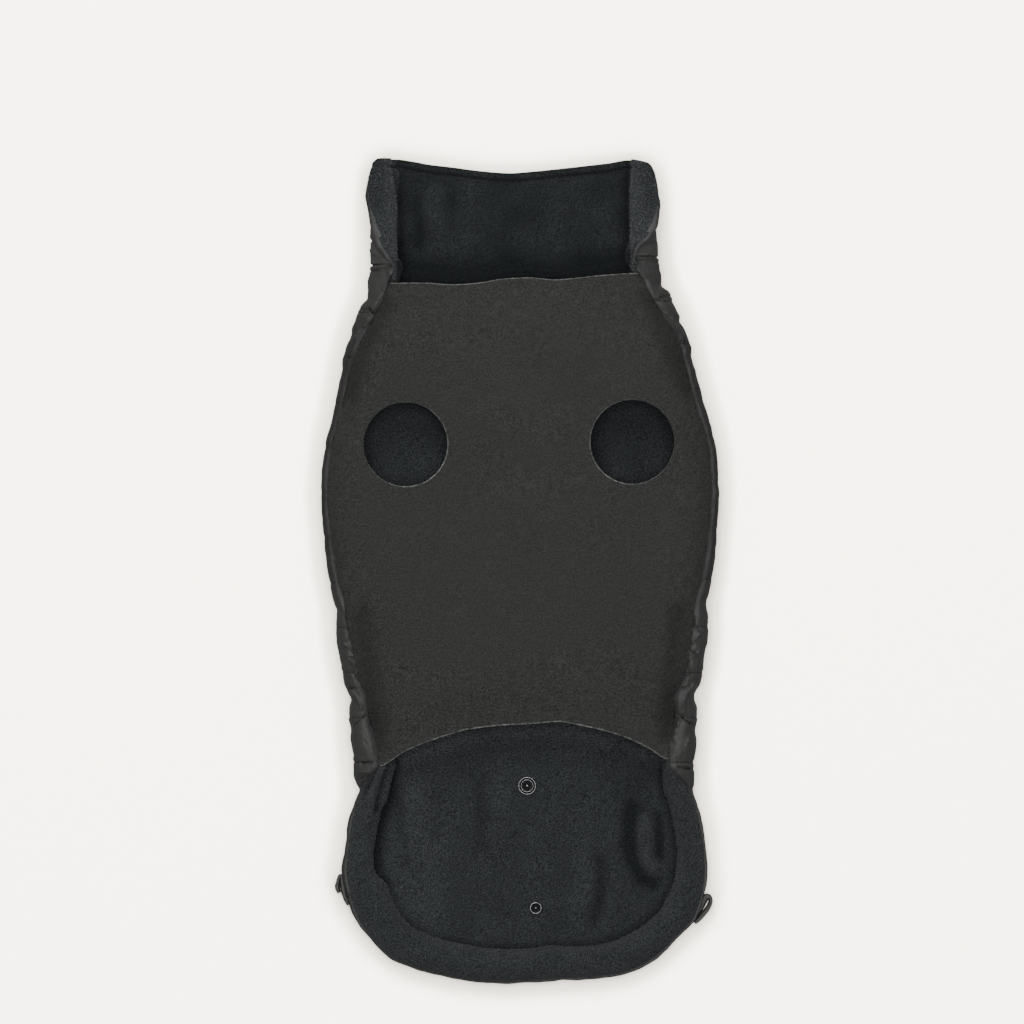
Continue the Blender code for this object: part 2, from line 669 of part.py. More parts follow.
def circle(x, y, radius, count):
    return [(x + radius * cos(2 * pi * k / count), y + radius * sin(2 * pi * k / count)) for k in range(count)]


def belly_outline():
    """The belly's edge: down the left seam, along the rear edge, up the right seam and back along the front."""
    left = [seam_place(place, -1, SEAM_CLEAR)[:2] for place in channels_between(*BELLY_LEFT)]
    right = [seam_place(place, 1, SEAM_CLEAR)[:2] for place in channels_between(*BELLY_RIGHT)]
    rear = [(x, along_points(BELLY_REAR, x)) for x in range(-72, 76, 12)]
    front = [(x, along_points(BELLY_FRONT, x)) for x in range(60, -72, -12)]
    return [*left, *rear, *reversed(right), *front]


def make_belly_panel(surface):
    holes = [circle(x, y, LEG_HOLE_RADIUS, LEG_HOLE_SIDES) for x, y in LEG_HOLES]
    flat, triangles, loops = fill(belly_outline(), BELLY_STEP, holes)
    upper = [(p.x, p.y, belly_height(p.x, p.y)) for p in flat]
    lower = [belly_under(p.x, p.y) for p in flat]
    shift = len(upper)
    faces = list(triangles)
    faces += [tuple(k + shift for k in reversed(triangle)) for triangle in triangles]
    for loop in loops:
        faces += rim(loop, [k + shift for k in loop])
    return solid("belly_panel", upper + lower, faces, surface)


# --- The hem band, the snaps and the tabs -------------------------------------------------------------------


def band_point(section, share, depth):
    """A point of the hem band, from the shell's edge (0) over its crest down to its inner edge (1)."""
    start = seam_angle(section, section.inset) + FACING_CLEAR / section.across
    angle = start + (pi - start) * share
    if angle <= pi / 2:
        return wall_point(section, angle, depth)
    inward = section.across - (section.band - section.across - depth) * cos(angle)
    height = BAND_LOW + (section.crest - BAND_LOW - depth) * sin(angle)
    return (section.x + section.inward_x * inward, section.y + section.inward_y * inward, height)


def make_hem_facing(surface):
    shares = [j / FACING_STEPS for j in range(FACING_STEPS + 1)]
    rows = sections(FACING_START, FLAP_CHANNEL, FACING_PARTS, FLAP_STEPS)
    outer = [[band_point(section, share, 0.0) for share in shares] for section in rows]
    inner = [[band_point(section, share, LINING) for share in shares] for section in rows]
    return sheet("hem_facing", outer, inner, surface)


def turned(name, place, profile, surface, sides=20):
    """A turned piece from (radius, height) points, first and last on its axis."""
    x, y = place
    ring = circle(x, y, max(radius for radius, _ in profile), sides)
    base = LINING_IN + GAP + max(folds_lift(FLAP_FOLDS, *spot) for spot in ring)
    points = [(x, y, base + profile[0][1])]
    for radius, height in profile[1:-1]:
        points += [(px, py, base + height) for px, py in circle(x, y, radius, sides)]
    points.append((x, y, base + profile[-1][1]))
    faces = []
    for k in range(sides):
        after = (k + 1) % sides
        faces.append((0, 1 + k, 1 + after))
        for ring in range(len(profile) - 3):
            a, b = 1 + ring * sides, 1 + (ring + 1) * sides
            faces.append((a + k, b + k, b + after, a + after))
        end = 1 + (len(profile) - 3) * sides
        faces.append((end + k, len(points) - 1, end + after))
    return solid(name, points, faces, surface)


def make_snaps(surface):
    """The stud has a post inside a ring, the socket a hollow."""
    top, ring = SNAP_HEIGHT, STUD_RING
    stud = (
        (0, 0), (ring - 0.3, 0), (ring, 0.4), (ring - 0.3, top - 0.3), (ring - 0.9, top),
        (ring - 1.5, top - 0.4), (ring - 1.9, 0.6),
        (1.7, 0.6), (1.5, top), (0.9, top + 0.5), (0, top + 0.6),
    )
    turned("snap_stud", SNAP_STUD, stud, surface)
    ring = SOCKET_RING
    socket = (
        (0, 0), (ring - 0.3, 0), (ring, 0.4), (ring - 0.4, top - 0.2), (ring - 1.0, top),
        (ring - 1.5, top - 0.3), (ring - 1.8, 0.5), (0, 0.45),
    )
    turned("snap_socket", SNAP_SOCKET, socket, surface)


def tab_line(tab):
    """The folded strip's outer line as (along, outward) points: in along the coat, round, and back outside."""
    half, radius = tab.length / 2, tab.reach / 2
    turn = half - radius
    line = [(-half, 0.3), (-half * 0.4, 0.1), (turn, 0.0)]
    for k in range(1, TAB_TURN_STEPS):
        angle = -pi / 2 + pi * k / TAB_TURN_STEPS
        line.append((turn + radius * cos(angle), radius * (1 + sin(angle))))
    line += [(turn, tab.reach), (-half * 0.3, tab.reach - 0.2), (-half, tab.reach - 1.0)]
    return line


def make_tabs(surface):
    for tab in TABS:
        place = flap_section(tab.angle)
        start = Vector((place.x, place.y))
        before, after = flap_section(tab.angle - 2), flap_section(tab.angle + 2)
        along = Vector((after.x - before.x, after.y - before.y)).normalized()
        if along.y < 0:
            along.negate()
        out = Vector((along.y, -along.x)) * (1 if place.x > 0 else -1)
        line = tab_line(tab)
        rows = []
        for depth in (0.0, WEBBING):
            shrunk = shrink(line, depth)
            for height in (TAB_BASE, TAB_BASE + TAB_WIDTH):
                spots = [start + along * a + out * (b + GAP) for a, b in shrunk]
                rows.append([(spot.x, spot.y, height) for spot in spots])
        sheet(tab.name, rows[:2], rows[2:], surface)


def shrink(line, depth):
    """A line that turns to the left, moved to its left by a depth."""
    moved = []
    for k, (a, b) in enumerate(line):
        before, after = line[max(k - 1, 0)], line[min(k + 1, len(line) - 1)]
        da, db = after[0] - before[0], after[1] - before[1]
        long = hypot(da, db)
        moved.append((a - depth * db / long, b + depth * da / long))
    return moved


def main():
    for old in list(bpy.data.objects):
        bpy.data.objects.remove(old, do_unlink=True)
    nylon = material("black_nylon", (0.045, 0.047, 0.05), 0.38)
    fleece = material("dark_fleece", (0.022, 0.026, 0.029), 0.95, sheen=0.4)
    knit = material("stretch_knit", (0.036, 0.036, 0.033), 0.85, sheen=0.2)
    snap = material("black_snap", (0.012, 0.012, 0.013), 0.22, metallic=0.6)
    webbing = material("black_webbing", (0.05, 0.05, 0.052), 0.6)
    make_shell_back(nylon)
    make_lining_back(fleece)
    make_collar(nylon, fleece)
    make_belly_panel(knit)
    make_hem_facing(fleece)
    make_snaps(snap)
    make_tabs(webbing)
    for made in bpy.data.objects:
        print(made.name, len(made.data.polygons), "triangles")


main()
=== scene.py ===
# %% [markdown]
# # A quilted winter coat for a small dog
#
# The coat lies on its back with the belly side up. What shows is the stretch panel that closes it under the
# dog, the fleece in the collar, in the leg holes and on the rump flap, and a thin strip of the quilted nylon
# shell down each side. Each step below makes one cut-and-sewn piece, or one finish.

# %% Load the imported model
import math

import bmesh
import bpy
import numpy as np
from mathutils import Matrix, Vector, noise
from mathutils.geometry import delaunay_2d_cdt


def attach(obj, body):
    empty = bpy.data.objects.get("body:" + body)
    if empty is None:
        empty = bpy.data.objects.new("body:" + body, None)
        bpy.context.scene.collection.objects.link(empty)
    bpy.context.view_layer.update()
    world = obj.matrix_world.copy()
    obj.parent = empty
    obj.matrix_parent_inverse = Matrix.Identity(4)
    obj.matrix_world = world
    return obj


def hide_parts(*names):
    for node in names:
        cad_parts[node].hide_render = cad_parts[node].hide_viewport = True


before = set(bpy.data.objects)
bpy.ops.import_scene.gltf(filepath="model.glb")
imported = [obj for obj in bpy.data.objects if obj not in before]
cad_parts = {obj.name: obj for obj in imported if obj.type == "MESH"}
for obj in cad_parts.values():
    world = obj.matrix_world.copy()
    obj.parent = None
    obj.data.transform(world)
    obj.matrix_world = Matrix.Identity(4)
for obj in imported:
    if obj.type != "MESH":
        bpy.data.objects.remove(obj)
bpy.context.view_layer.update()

MM = 0.001

# %% [markdown]
# ## The camera and the light
#
# A garment laid out flat is seen best from straight above, and a long lens keeps its raised parts from
# leaning outwards. The light is a large soft panel overhead, with a smaller one past the collar that grazes
# the cloth and draws its folds.

# %% Camera
LENS_MM = 250
SENSOR_MM = 36
VIEW_WIDTH = 0.5816
VIEW_CENTRE = (-0.0043, 0.0335)
WIDEST_LINE = 0.012  # the height at which the coat's outline lies
camera_data = bpy.data.cameras.new("camera")
camera_data.lens = LENS_MM
camera_data.sensor_width = SENSOR_MM
camera_data.clip_end = 20
camera = bpy.data.objects.new("camera", camera_data)
camera.location = (*VIEW_CENTRE, WIDEST_LINE + VIEW_WIDTH * LENS_MM / SENSOR_MM)
bpy.context.collection.objects.link(camera)
bpy.context.scene.camera = camera
print(f"The camera is {camera.location.z:.2f} m up and sees {VIEW_WIDTH:.2f} m across")


# %% Lights
def area_light(name, place, size, power):
    """A square area light at a place, turned to the coat."""
    data = bpy.data.lights.new(name, "AREA")
    data.shape = "SQUARE"
    data.size = size
    data.energy = power
    light = bpy.data.objects.new(name, data)
    light.location = place
    light.rotation_euler = (-Vector(place)).to_track_quat("-Z", "Y").to_euler()
    bpy.context.collection.objects.link(light)


area_light("overhead_panel", place=(0.0, 0.1, 4.8), size=2.6, power=500)
area_light("front_panel", place=(-0.35, 1.6, 1.6), size=0.9, power=62)
ROOM_COLOUR, ROOM_STRENGTH = (1, 0.995, 0.985), 0.7
world = bpy.data.worlds.new("studio")
world.use_nodes = True
room = world.node_tree.nodes["Background"].inputs
room["Color"].default_value = (*ROOM_COLOUR, 1)
room["Strength"].default_value = ROOM_STRENGTH
bpy.context.scene.world = world
print("The scene has", len(bpy.data.lights), "lights and a dim room")

# %% [markdown]
# ## Shader maths as plain expressions
#
# A node tree is easier to read as a formula. `Value` wraps one number socket, and each operator adds the Math
# node it stands for. `Paint` starts a material and has one method for every other node.


# %% Value and Paint
class Value:
    """A number socket that grows a Math node for every operator."""

    def __init__(self, paint, socket):
        self.paint, self.socket = paint, socket

    def math(self, operation, *others):
        return Value(self.paint, self.paint.node("ShaderNodeMath", {"operation": operation}, self, *others))

    def __add__(self, other):
        return self.math("ADD", other)

    def __sub__(self, other):
        return self.math("SUBTRACT", other)

    def __rsub__(self, other):
        return Value(self.paint, self.paint.node("ShaderNodeMath", {"operation": "SUBTRACT"}, other, self))

    def __mul__(self, other):
        return self.math("MULTIPLY", other)

    def __truediv__(self, other):
        return self.math("DIVIDE", other)

    def __abs__(self):
        return self.math("ABSOLUTE")

    __radd__, __rmul__ = __add__, __mul__

    def step(self, low, high):
        """0 below low, 1 above high, and smooth between."""
        settings = {"interpolation_type": "SMOOTHSTEP"}
        return Value(self.paint, self.paint.node("ShaderNodeMapRange", settings, self, low, high, 0.0, 1.0))


class Paint:
    """A material whose nodes are added one call at a time."""

    def __init__(self, name, roughness, specular, sheen=0.0):
        self.material = bpy.data.materials.new(name)
        self.material.use_nodes = True
        self.tree = self.material.node_tree
        self.shader = self.tree.nodes["Principled BSDF"]
        self.shader.inputs["Roughness"].default_value = roughness
        self.shader.inputs["Specular IOR Level"].default_value = specular
        self.shader.inputs["Sheen Weight"].default_value = sheen

    def node(self, kind, settings, *inputs, output=0, **named):
        """Adds a node, sets it, and feeds its sockets in order or by name; gives one output socket."""
        made = self.tree.nodes.new(kind)
        for name, value in settings.items():
            setattr(made, name, value)
        for place, value in [*enumerate(inputs), *named.items()]:
            self.feed(made.inputs[place], value)
        return made.outputs[output]

    def feed(self, socket, value):
        if isinstance(value, Value):
            value = value.socket
        if isinstance(value, bpy.types.NodeSocket):
            self.tree.links.new(value, socket)
        elif value is not None:
            socket.default_value = value

    def place(self):
        """The point being painted, in metres."""
        return self.node("ShaderNodeTexCoord", {}, output="Object")

    def stretched(self, scale):
        """The point with its axes scaled."""
        return self.node("ShaderNodeVectorMath", {"operation": "MULTIPLY"}, self.place(), scale)

    def axes(self):
        split = self.node("ShaderNodeSeparateXYZ", {}, self.place(), output="X").node
        return [Value(self, split.outputs[axis]) for axis in "XYZ"]

    def cloud(self, size_mm, detail=2.0, roughness=0.5, stretch=(1, 1, 1)):
        """Noise from 0 to 1 whose lumps are about size_mm across."""
        scale = 1 / (size_mm * MM)
        place = self.stretched(stretch)
        noise_node = self.node(
            "ShaderNodeTexNoise", {"normalize": True}, output="Fac",
            Vector=place, Scale=scale, Detail=detail, Roughness=roughness,
        )
        return Value(self, noise_node)

    def attribute(self, name):
        found = self.node("ShaderNodeAttribute", {"attribute_name": name}, output="Fac")
        return Value(self, found)

    def blend(self, share, first, second):
        """A colour between two."""
        mix = self.node("ShaderNodeMix", {"data_type": "RGBA"}, output=2)
        for name, value in (("Factor_Float", share), ("A_Color", first), ("B_Color", second)):
            socket = next(s for s in mix.node.inputs if s.identifier == name)
            self.feed(socket, (*value, 1) if isinstance(value, tuple) else value)
        return mix

    def relief(self, *layers):
        """Bumps of (height, its size in millimetres), one over the other."""
        normal = None
        for height, size in layers:
            inputs = {"Strength": 1.0, "Distance": size * MM, "Height": height}
            normal = self.node("ShaderNodeBump", {}, Normal=normal, **inputs)
        self.feed(self.shader.inputs["Normal"], normal)

    def colour(self, value):
        self.feed(self.shader.inputs["Base Color"], (*value, 1) if isinstance(value, tuple) else value)

    def roughness(self, low, spread, size_mm):
        """Roughness that varies in patches."""
        self.feed(self.shader.inputs["Roughness"], self.cloud(size_mm, 2.0) * spread + low)


print("Value and Paint are ready")

# %% [markdown]
# ## The floor
#
# The coat lies on a pale sweep that glows a little, so its shadow stays short and soft. The glow is cut down
# close beside whatever lies on the floor, which paints a shadow there: an ambient-occlusion node tells how
# open a point is, and a curve turns that into a share of the glow.

# %% Floor
SWEEP_HALF = 3.0
SWEEP_COLOUR = (0.94, 0.88, 0.76)
GLOW_STRENGTH, PAINTED_SHADOW_REACH = 3.9, 0.016
# The share of the glow for how open a point is. The first point stands for all that is less open.
GLOW_START, GLOW_CURVE = (0.5, 0.02), ((0.62, 0.02), (0.78, 0.16), (0.88, 0.62), (0.94, 0.93))
corners = [(x * SWEEP_HALF, y * SWEEP_HALF, 0) for x, y in ((-1, -1), (1, -1), (1, 1), (-1, 1))]
floor_mesh = bpy.data.meshes.new("floor")
floor_mesh.from_pydata(corners, [], [(0, 1, 2, 3)])
floor = bpy.data.objects.new("floor", floor_mesh)
bpy.context.collection.objects.link(floor)
sweep = Paint("floor_paint", 0.9, 0.1)
sweep.colour(SWEEP_COLOUR)
# Painted shadow: the floor's glow fades where the coat closes it in.
openness = sweep.node("ShaderNodeAmbientOcclusion", {"samples": 12}, output="AO", Distance=PAINTED_SHADOW_REACH)
glow = sweep.node("ShaderNodeFloatCurve", {}, Value=openness)
for openness_there, share in GLOW_CURVE:
    glow.node.mapping.curves[0].points.new(openness_there, share)
glow.node.mapping.curves[0].points[0].location = GLOW_START
glow.node.mapping.update()
sweep.feed(sweep.shader.inputs["Emission Color"], sweep.blend(glow, (0, 0, 0), SWEEP_COLOUR))
sweep.shader.inputs["Emission Strength"].default_value = GLOW_STRENGTH
floor_mesh.materials.append(sweep.material)
floor.visible_diffuse = floor.visible_glossy = False  # its glow doesn't light the coat from below
print(f"The glow fades within {PAINTED_SHADOW_REACH / MM:.0f} mm of the coat")

# %% [markdown]
# ## The finishes
#
# The shell is a smooth nylon with a soft shine, puckered by its thread along each line of quilting. The
# fleece is matte, with a short brushed pile: small clumps, and finer fibres in them. The belly is a fine
# knit. Its cut edges are left raw, so they show the lighter core of the yarn.
#
# Each cloth also reads an attribute that paints light and shade into its colour: -1 where shade is painted
# and it looks darker, 0 where nothing is painted, and 1 where light is painted and it looks lighter.

# %% Quilted nylon
NECK_SEAM = 172.1  # the seam between the back and the collar, in millimetres
PITCH = 25.5  # the width of one quilted channel
SHADED_NYLON = (0.0032, 0.0032, 0.0031)


def quilted_nylon(name, dark, light):
    """The shell's cloth: smooth, puckered along its stitching, a little crumpled."""
    cloth = Paint(name, 0.55, 0.085)
    channel = (cloth.axes()[1] - NECK_SEAM * MM) / (PITCH * MM)
    from_stitch = abs(channel - channel.math("ROUND"))
    near_stitch = 1 - from_stitch.step(0.02, 0.30)
    puckers = cloth.cloud(2.4, 1.0, stretch=(1, 0.30, 1)) * near_stitch
    crumple = abs(cloth.cloud(9.0, 3.0, 0.55) - 0.5) * 2
    cloth.relief((cloth.cloud(0.5, 1.0), 0.03), (puckers, 0.6), (crumple, 0.8))
    loose = cloth.blend(cloth.cloud(14.0, 3.0), dark, light)
    # Painted shade: where it is stored, the colour is drawn towards a darker nylon.
    cloth.colour(cloth.blend(0 - cloth.attribute("painted_light"), loose, SHADED_NYLON))
    cloth.roughness(0.50, 0.14, 5.0)
    return cloth


nylon = quilted_nylon("quilted_nylon", (0.0106, 0.0107, 0.0105), (0.0176, 0.0176, 0.0172))
# Painted light: the collar's nylon is the shell's cloth with both colours painted lighter.
collar_nylon = quilted_nylon("collar_nylon_painted_lighter", (0.0145, 0.0146, 0.0143), (0.0245, 0.0245, 0.0240))

# %% Brushed fleece
fleece = Paint("brushed_fleece", 0.95, 0.05, sheen=0.03)
clumps = fleece.cloud(3.2, 2.0, 0.6)
pile = fleece.cloud(0.85, 2.0, 0.7)
fibres = fleece.cloud(0.55, 1.0, 0.6)
# Painted light and shade: the fleece is darker where shade is painted and lighter where light is painted.
fleece_painted_light = fleece.attribute("painted_light") * 0.5 + 0.5
tips = (pile * 0.6 + fibres * 0.4).step(0.41, 0.61)
roots = fleece.blend(fleece_painted_light, (0.0009, 0.0013, 0.0016), (0.0046, 0.0054, 0.0059))
ends = fleece.blend(fleece_painted_light, (0.0036, 0.0048, 0.0055), (0.0286, 0.0311, 0.0324))
fleece.colour(fleece.blend(tips, roots, ends))
fleece.relief((clumps, 1.1), (pile, 1.2), (fibres, 0.4))

# %% Stretch knit
knit = Paint("stretch_knit", 0.8, 0.12, sheen=0.02)
across, along, _ = knit.axes()
WALE_MM, COURSE_MM = 1.3, 1.08
wales = (across * (2 * math.pi / (WALE_MM * MM))).math("SINE")
courses = (along * (2 * math.pi / (COURSE_MM * MM))).math("SINE")
loops = wales * courses * 0.5 + 0.5
yarn = knit.cloud(1.0, 2.0, 0.75)
# Painted light and shade: the knit is darker where shade is painted and lighter where light is painted.
stretched = knit.attribute("painted_light") * 0.5 + 0.5
light = (loops * 0.30 + yarn * 0.70).step(0.445, 0.56)
hollows = knit.blend(stretched, (0.0003, 0.0004, 0.0003), (0.0012, 0.0014, 0.0012))
crowns = knit.blend(stretched, (0.0074, 0.0077, 0.0071), (0.0222, 0.0231, 0.0213))
knit.colour(knit.blend(light, hollows, crowns))
knit.relief((loops, 0.12), (yarn, 0.45))

# %% Raw edge of the knit, thread, webbing and snaps
raw_edge = Paint("raw_knit_edge", 0.9, 0.15)
fluff = raw_edge.cloud(2.2, 2.0, 0.7).step(0.35, 0.65)
raw_edge.colour(raw_edge.blend(fluff, (0.020, 0.021, 0.020), (0.085, 0.086, 0.082)))
raw_edge.relief((raw_edge.cloud(0.6, 1.0), 0.3))

thread = Paint("black_thread", 0.6, 0.06)
thread.colour(thread.blend(thread.cloud(0.8, 1.0), (0.0015, 0.0015, 0.0015), (0.006, 0.006, 0.006)))
thread.relief((thread.cloud(0.4, 1.0), 0.1))

webbing = Paint("black_webbing", 0.62, 0.15)
rib = (webbing.axes()[2] * (2 * math.pi / (0.9 * MM))).math("SINE")
webbing.colour(webbing.blend(webbing.cloud(1.2, 2.0, 0.7), (0.006, 0.006, 0.006), (0.023, 0.022, 0.021)))
webbing.relief((rib, 0.12), (webbing.cloud(0.5, 1.0), 0.2))

lint = Paint("loose_fleece_fibre", 0.9, 0.05, sheen=0.05)
pale = lint.cloud(1.6, 2.0, 0.7).step(0.35, 0.65)
lint.colour(lint.blend(pale, (0.012, 0.0135, 0.014), (0.058, 0.062, 0.064)))
lint.relief((lint.cloud(0.3, 1.0), 0.05))

snap_gloss = Paint("snap_rim_gloss", 0.2, 0.7)
worn = snap_gloss.cloud(1.5, 2.0)
snap_gloss.colour(snap_gloss.blend(worn, (0.002, 0.002, 0.002), (0.006, 0.006, 0.006)))
snap_gloss.roughness(0.12, 0.15, 0.8)
snap_gloss.relief((snap_gloss.cloud(0.5, 1.0), 0.02))

snap_dull = Paint("snap_recess_dull", 0.75, 0.04)
dusty = snap_dull.cloud(1.0, 2.0)
snap_dull.colour(snap_dull.blend(dusty, (0.0015, 0.0016, 0.0018), (0.006, 0.0064, 0.007)))
snap_dull.relief((snap_dull.cloud(0.4, 1.0), 0.04))
print("Finishes:", sorted(m.name for m in bpy.data.materials if m.users == 0))

# %% [markdown]
# ## Tools for sewn shapes
#
# Every curve of the coat comes from a short table with named columns, in millimetres. Between its rows the
# values run smoothly and never overshoot, so a row can be moved without waking a ripple somewhere else.


# %% Tables and blends
def smooth(t):
    """0 below 0, 1 above 1, and an even rise between."""
    t = np.clip(t, 0.0, 1.0)
    return t * t * (3 - 2 * t)


def read_table(columns, rows, place):
    """The named values at places along the table's first column."""
    rows = np.array(sorted(rows), float)
    keys, values = rows[:, 0], rows[:, 1:]
    place = np.clip(np.asarray(place, float), keys[0], keys[-1])
    i = np.clip(np.searchsorted(keys, place, "right") - 1, 0, len(keys) - 2)
    step = (keys[i + 1] - keys[i])[..., None]
    t = (place - keys[i])[..., None] / step
    rise = np.diff(values, axis=0) / np.diff(keys)[:, None]
    product, total = rise[:-1] * rise[1:], rise[:-1] + rise[1:]
    slope = np.zeros_like(values)
    slope[1:-1] = np.where(product > 0, 2 * product / np.where(total == 0, 1, total), 0)
    found = (
        values[i] * (2 * t**3 - 3 * t**2 + 1) + slope[i] * step * (t**3 - 2 * t**2 + t)
        + values[i + 1] * (3 * t**2 - 2 * t**3) + slope[i + 1] * step * (t**3 - t**2)
    )
    return {name: found[..., k] for k, name in enumerate(columns[1:])}


def along_points(points, x):
    """The height of a smoothed row of (x, y) points at x."""
    return read_table(("x", "y"), points, x)["y"]


def ripple(points, size, seed):
    """Smooth noise from about -1 to 1 at each (x, y), with lumps of a size in millimetres."""
    shift = 100.0 * seed
    flat = np.reshape(points, (-1, np.shape(points)[-1]))
    values = [noise.noise(Vector((p[0] / size + shift, p[1] / size, shift))) for p in flat]
    return np.reshape(values, np.shape(points)[:-1])


def waves(points, *rows):
    """The sum of ripples given as (height, size, seed)."""
    return sum(height * ripple(points, size, seed) for height, size, seed in rows)


RIDGE_POWER = 1.6  # over 1, so a ridge is steeper at its top than at its foot


def ridges(points, lines):
    """The height of creases given as (points of the crease, height, half width), at each point.

    Where ridges meet, the highest one wins. A negative height is a groove, and grooves and ridges add up.
    """
    x, y = points[..., 0], points[..., 1]
    up, down = np.zeros_like(x), np.zeros_like(x)
    for line, height, width in lines:
        line = np.array(line, float)
        near = np.full(x.shape, np.inf)
        for (x0, y0), (x1, y1) in zip(line[:-1], line[1:]):
            dx, dy = x1 - x0, y1 - y0
            t = np.clip(((x - x0) * dx + (y - y0) * dy) / (dx * dx + dy * dy), 0, 1)
            near = np.minimum(near, np.hypot(x - x0 - t * dx, y - y0 - t * dy))
        shape = np.clip(1 - near / width, 0, 1) ** RIDGE_POWER
        if height > 0:
            up = np.maximum(up, height * shape)
        else:
            down = np.minimum(down, height * shape)
    return up + down


print("A table read halfway:", read_table(("at", "high"), ((0, 0), (1, 10), (2, 12)), 0.5)["high"])


# %% Meshes
def place_piece(name, mesh):
    """Puts a finished mesh into the scene as a piece of the coat."""
    made = bpy.data.objects.new(name, mesh)
    bpy.context.collection.objects.link(made)
    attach(made, "root")
    print(f"{name}: {sum(len(p.vertices) - 2 for p in mesh.polygons)} triangles")
    return made


def make_object(name, points, faces, *paints, face_paint=None, sharp=50):
    """An object from points in millimetres; face_paint gives the index of each face's paint."""
    mesh = bpy.data.meshes.new(name)
    mesh.from_pydata((np.asarray(points) * MM).tolist(), [], faces)
    for paint in paints:
        mesh.materials.append(paint.material)
    if face_paint is not None:
        mesh.polygons.foreach_set("material_index", face_paint)
    shape = bmesh.new()
    shape.from_mesh(mesh)
    bmesh.ops.recalc_face_normals(shape, faces=shape.faces)
    shape.to_mesh(mesh)
    shape.free()
    mesh.shade_smooth()
    mesh.set_sharp_from_angle(angle=math.radians(sharp))
    return place_piece(name, mesh)


def paint_light_and_shade(piece, painted_light):
    """Stores painted light and shade, from -1 (painted shade) to 1 (painted light), given by a function of
    points (x, y) in millimetres.
    """
    mesh = piece.data
    places = np.empty(len(mesh.vertices) * 3)
    mesh.vertices.foreach_get("co", places)
    values = np.clip(painted_light(places.reshape(-1, 3)[:, :2] / MM), -1, 1)
    mesh.attributes.new("painted_light", "FLOAT", "POINT").data.foreach_set("value", values)


def rim(upper, lower):
    """Faces that join two closed rows of points."""
    after = np.roll(np.arange(len(upper)), -1)
    return [(upper[k], lower[k], lower[n], upper[n]) for k, n in enumerate(after)]


def grid_faces(rows, columns, start, flip=False):
    """The faces of a grid whose points begin at start."""
    faces = []
    for i in range(rows - 1):
        for j in range(columns - 1):
            a, b = start + i * columns + j, start + (i + 1) * columns + j
            face = (a, a + 1, b + 1, b)
            faces.append(face[::-1] if flip else face)
    return faces


def grid_border(rows, columns):
    """The indices round a grid's edge."""
    top = list(range(columns))
    right = [i * columns + columns - 1 for i in range(1, rows)]
    bottom = [(rows - 1) * columns + j for j in range(columns - 2, -1, -1)]
    left = [i * columns for i in range(rows - 2, 0, -1)]
    return top + right + bottom + left


def cloth_wall(name, outer, inner, *paints):
    """A wall of cloth between two grids of points, closed round its edges."""
    rows, columns = outer.shape[:2]
    shift = rows * columns
    border = grid_border(rows, columns)
    faces = grid_faces(rows, columns, 0) + grid_faces(rows, columns, shift, True)
    faces += rim(border, [k + shift for k in border])
    return make_object(name, np.concatenate([outer.reshape(-1, 3), inner.reshape(-1, 3)]), faces, *paints)


CLEAR_OF_BORDER = 0.55  # a point this near the border, counted in spacings, would make a sliver
SAME_POINT = 1e-5


def fill(outline, across, up, holes=()):
    """Triangles inside an outline, over rows of evenly spaced points.

    Gives the points, the triangles, and the indices of the outline and of each hole.
    """
    border = np.concatenate([outline, *holes])
    starts = np.cumsum([0, len(outline), *[len(h) for h in holes]])
    loops = [list(range(a, b)) for a, b in zip(starts[:-1], starts[1:])]
    edges = [(loop[k], loop[(k + 1) % len(loop)]) for loop in loops for k in range(len(loop))]

    def inside(spots):
        crossings = np.zeros(len(spots), int)
        for a, b in edges:
            (ax, ay), (bx, by) = border[a], border[b]
            if ay != by:
                between = (ay > spots[:, 1]) != (by > spots[:, 1])
                crossings += between & (spots[:, 0] < ax + (spots[:, 1] - ay) * (bx - ax) / (by - ay))
        return crossings % 2 == 1

    low, high = border.min(0), border.max(0)
    spots = []
    for r, y in enumerate(np.arange(low[1] + up, high[1], up)):
        xs = np.arange(low[0] + across * (0.5 * (r % 2)), high[0], across)
        spots.append(np.stack([xs, np.full(len(xs), y)], 1))
    spots = np.concatenate(spots)
    spots = spots[inside(spots)]
    # The border is compared in parts, so that the table of distances stays small.
    for part in np.array_split(border, max(1, len(border) // 100)):
        away = np.min(np.hypot(*(spots[:, None] - part[None]).transpose(2, 0, 1)), axis=1)
        spots = spots[away > CLEAR_OF_BORDER * min(across, up)]
    flat = [Vector(p) for p in np.concatenate([border, spots])]
    points, _, triangles, *_ = delaunay_2d_cdt(flat, edges, [], 0, SAME_POINT)
    points = np.array([tuple(p) for p in points])
    triangles = np.array([tuple(t) for t in triangles])
    kept = triangles[inside(points[triangles].mean(1))]
    return points, [tuple(int(k) for k in t) for t in kept], loops


print("Mesh tools are ready")

# %% [markdown]
# ## The coat's measurements
#
# These are the same sizes as the solid model's. A section is what a saw would show across one side wall: it
# starts on the table, bulges out to its widest line, and rolls over to the seam of the belly panel. A layer
# inside another has the same arcs, drawn further in by its depth.

# %% Body tables
WALL, LINING, BELLY, GAP = 3.4, 2.2, 1.3, 0.35  # the cloths' thickness, and the room between two layers
LINING_OUT = WALL + GAP
LINING_IN = LINING_OUT + LINING
FINE_ACROSS, FINE_UP = 2.6, 2.3  # the spacing of points over the lining and the belly
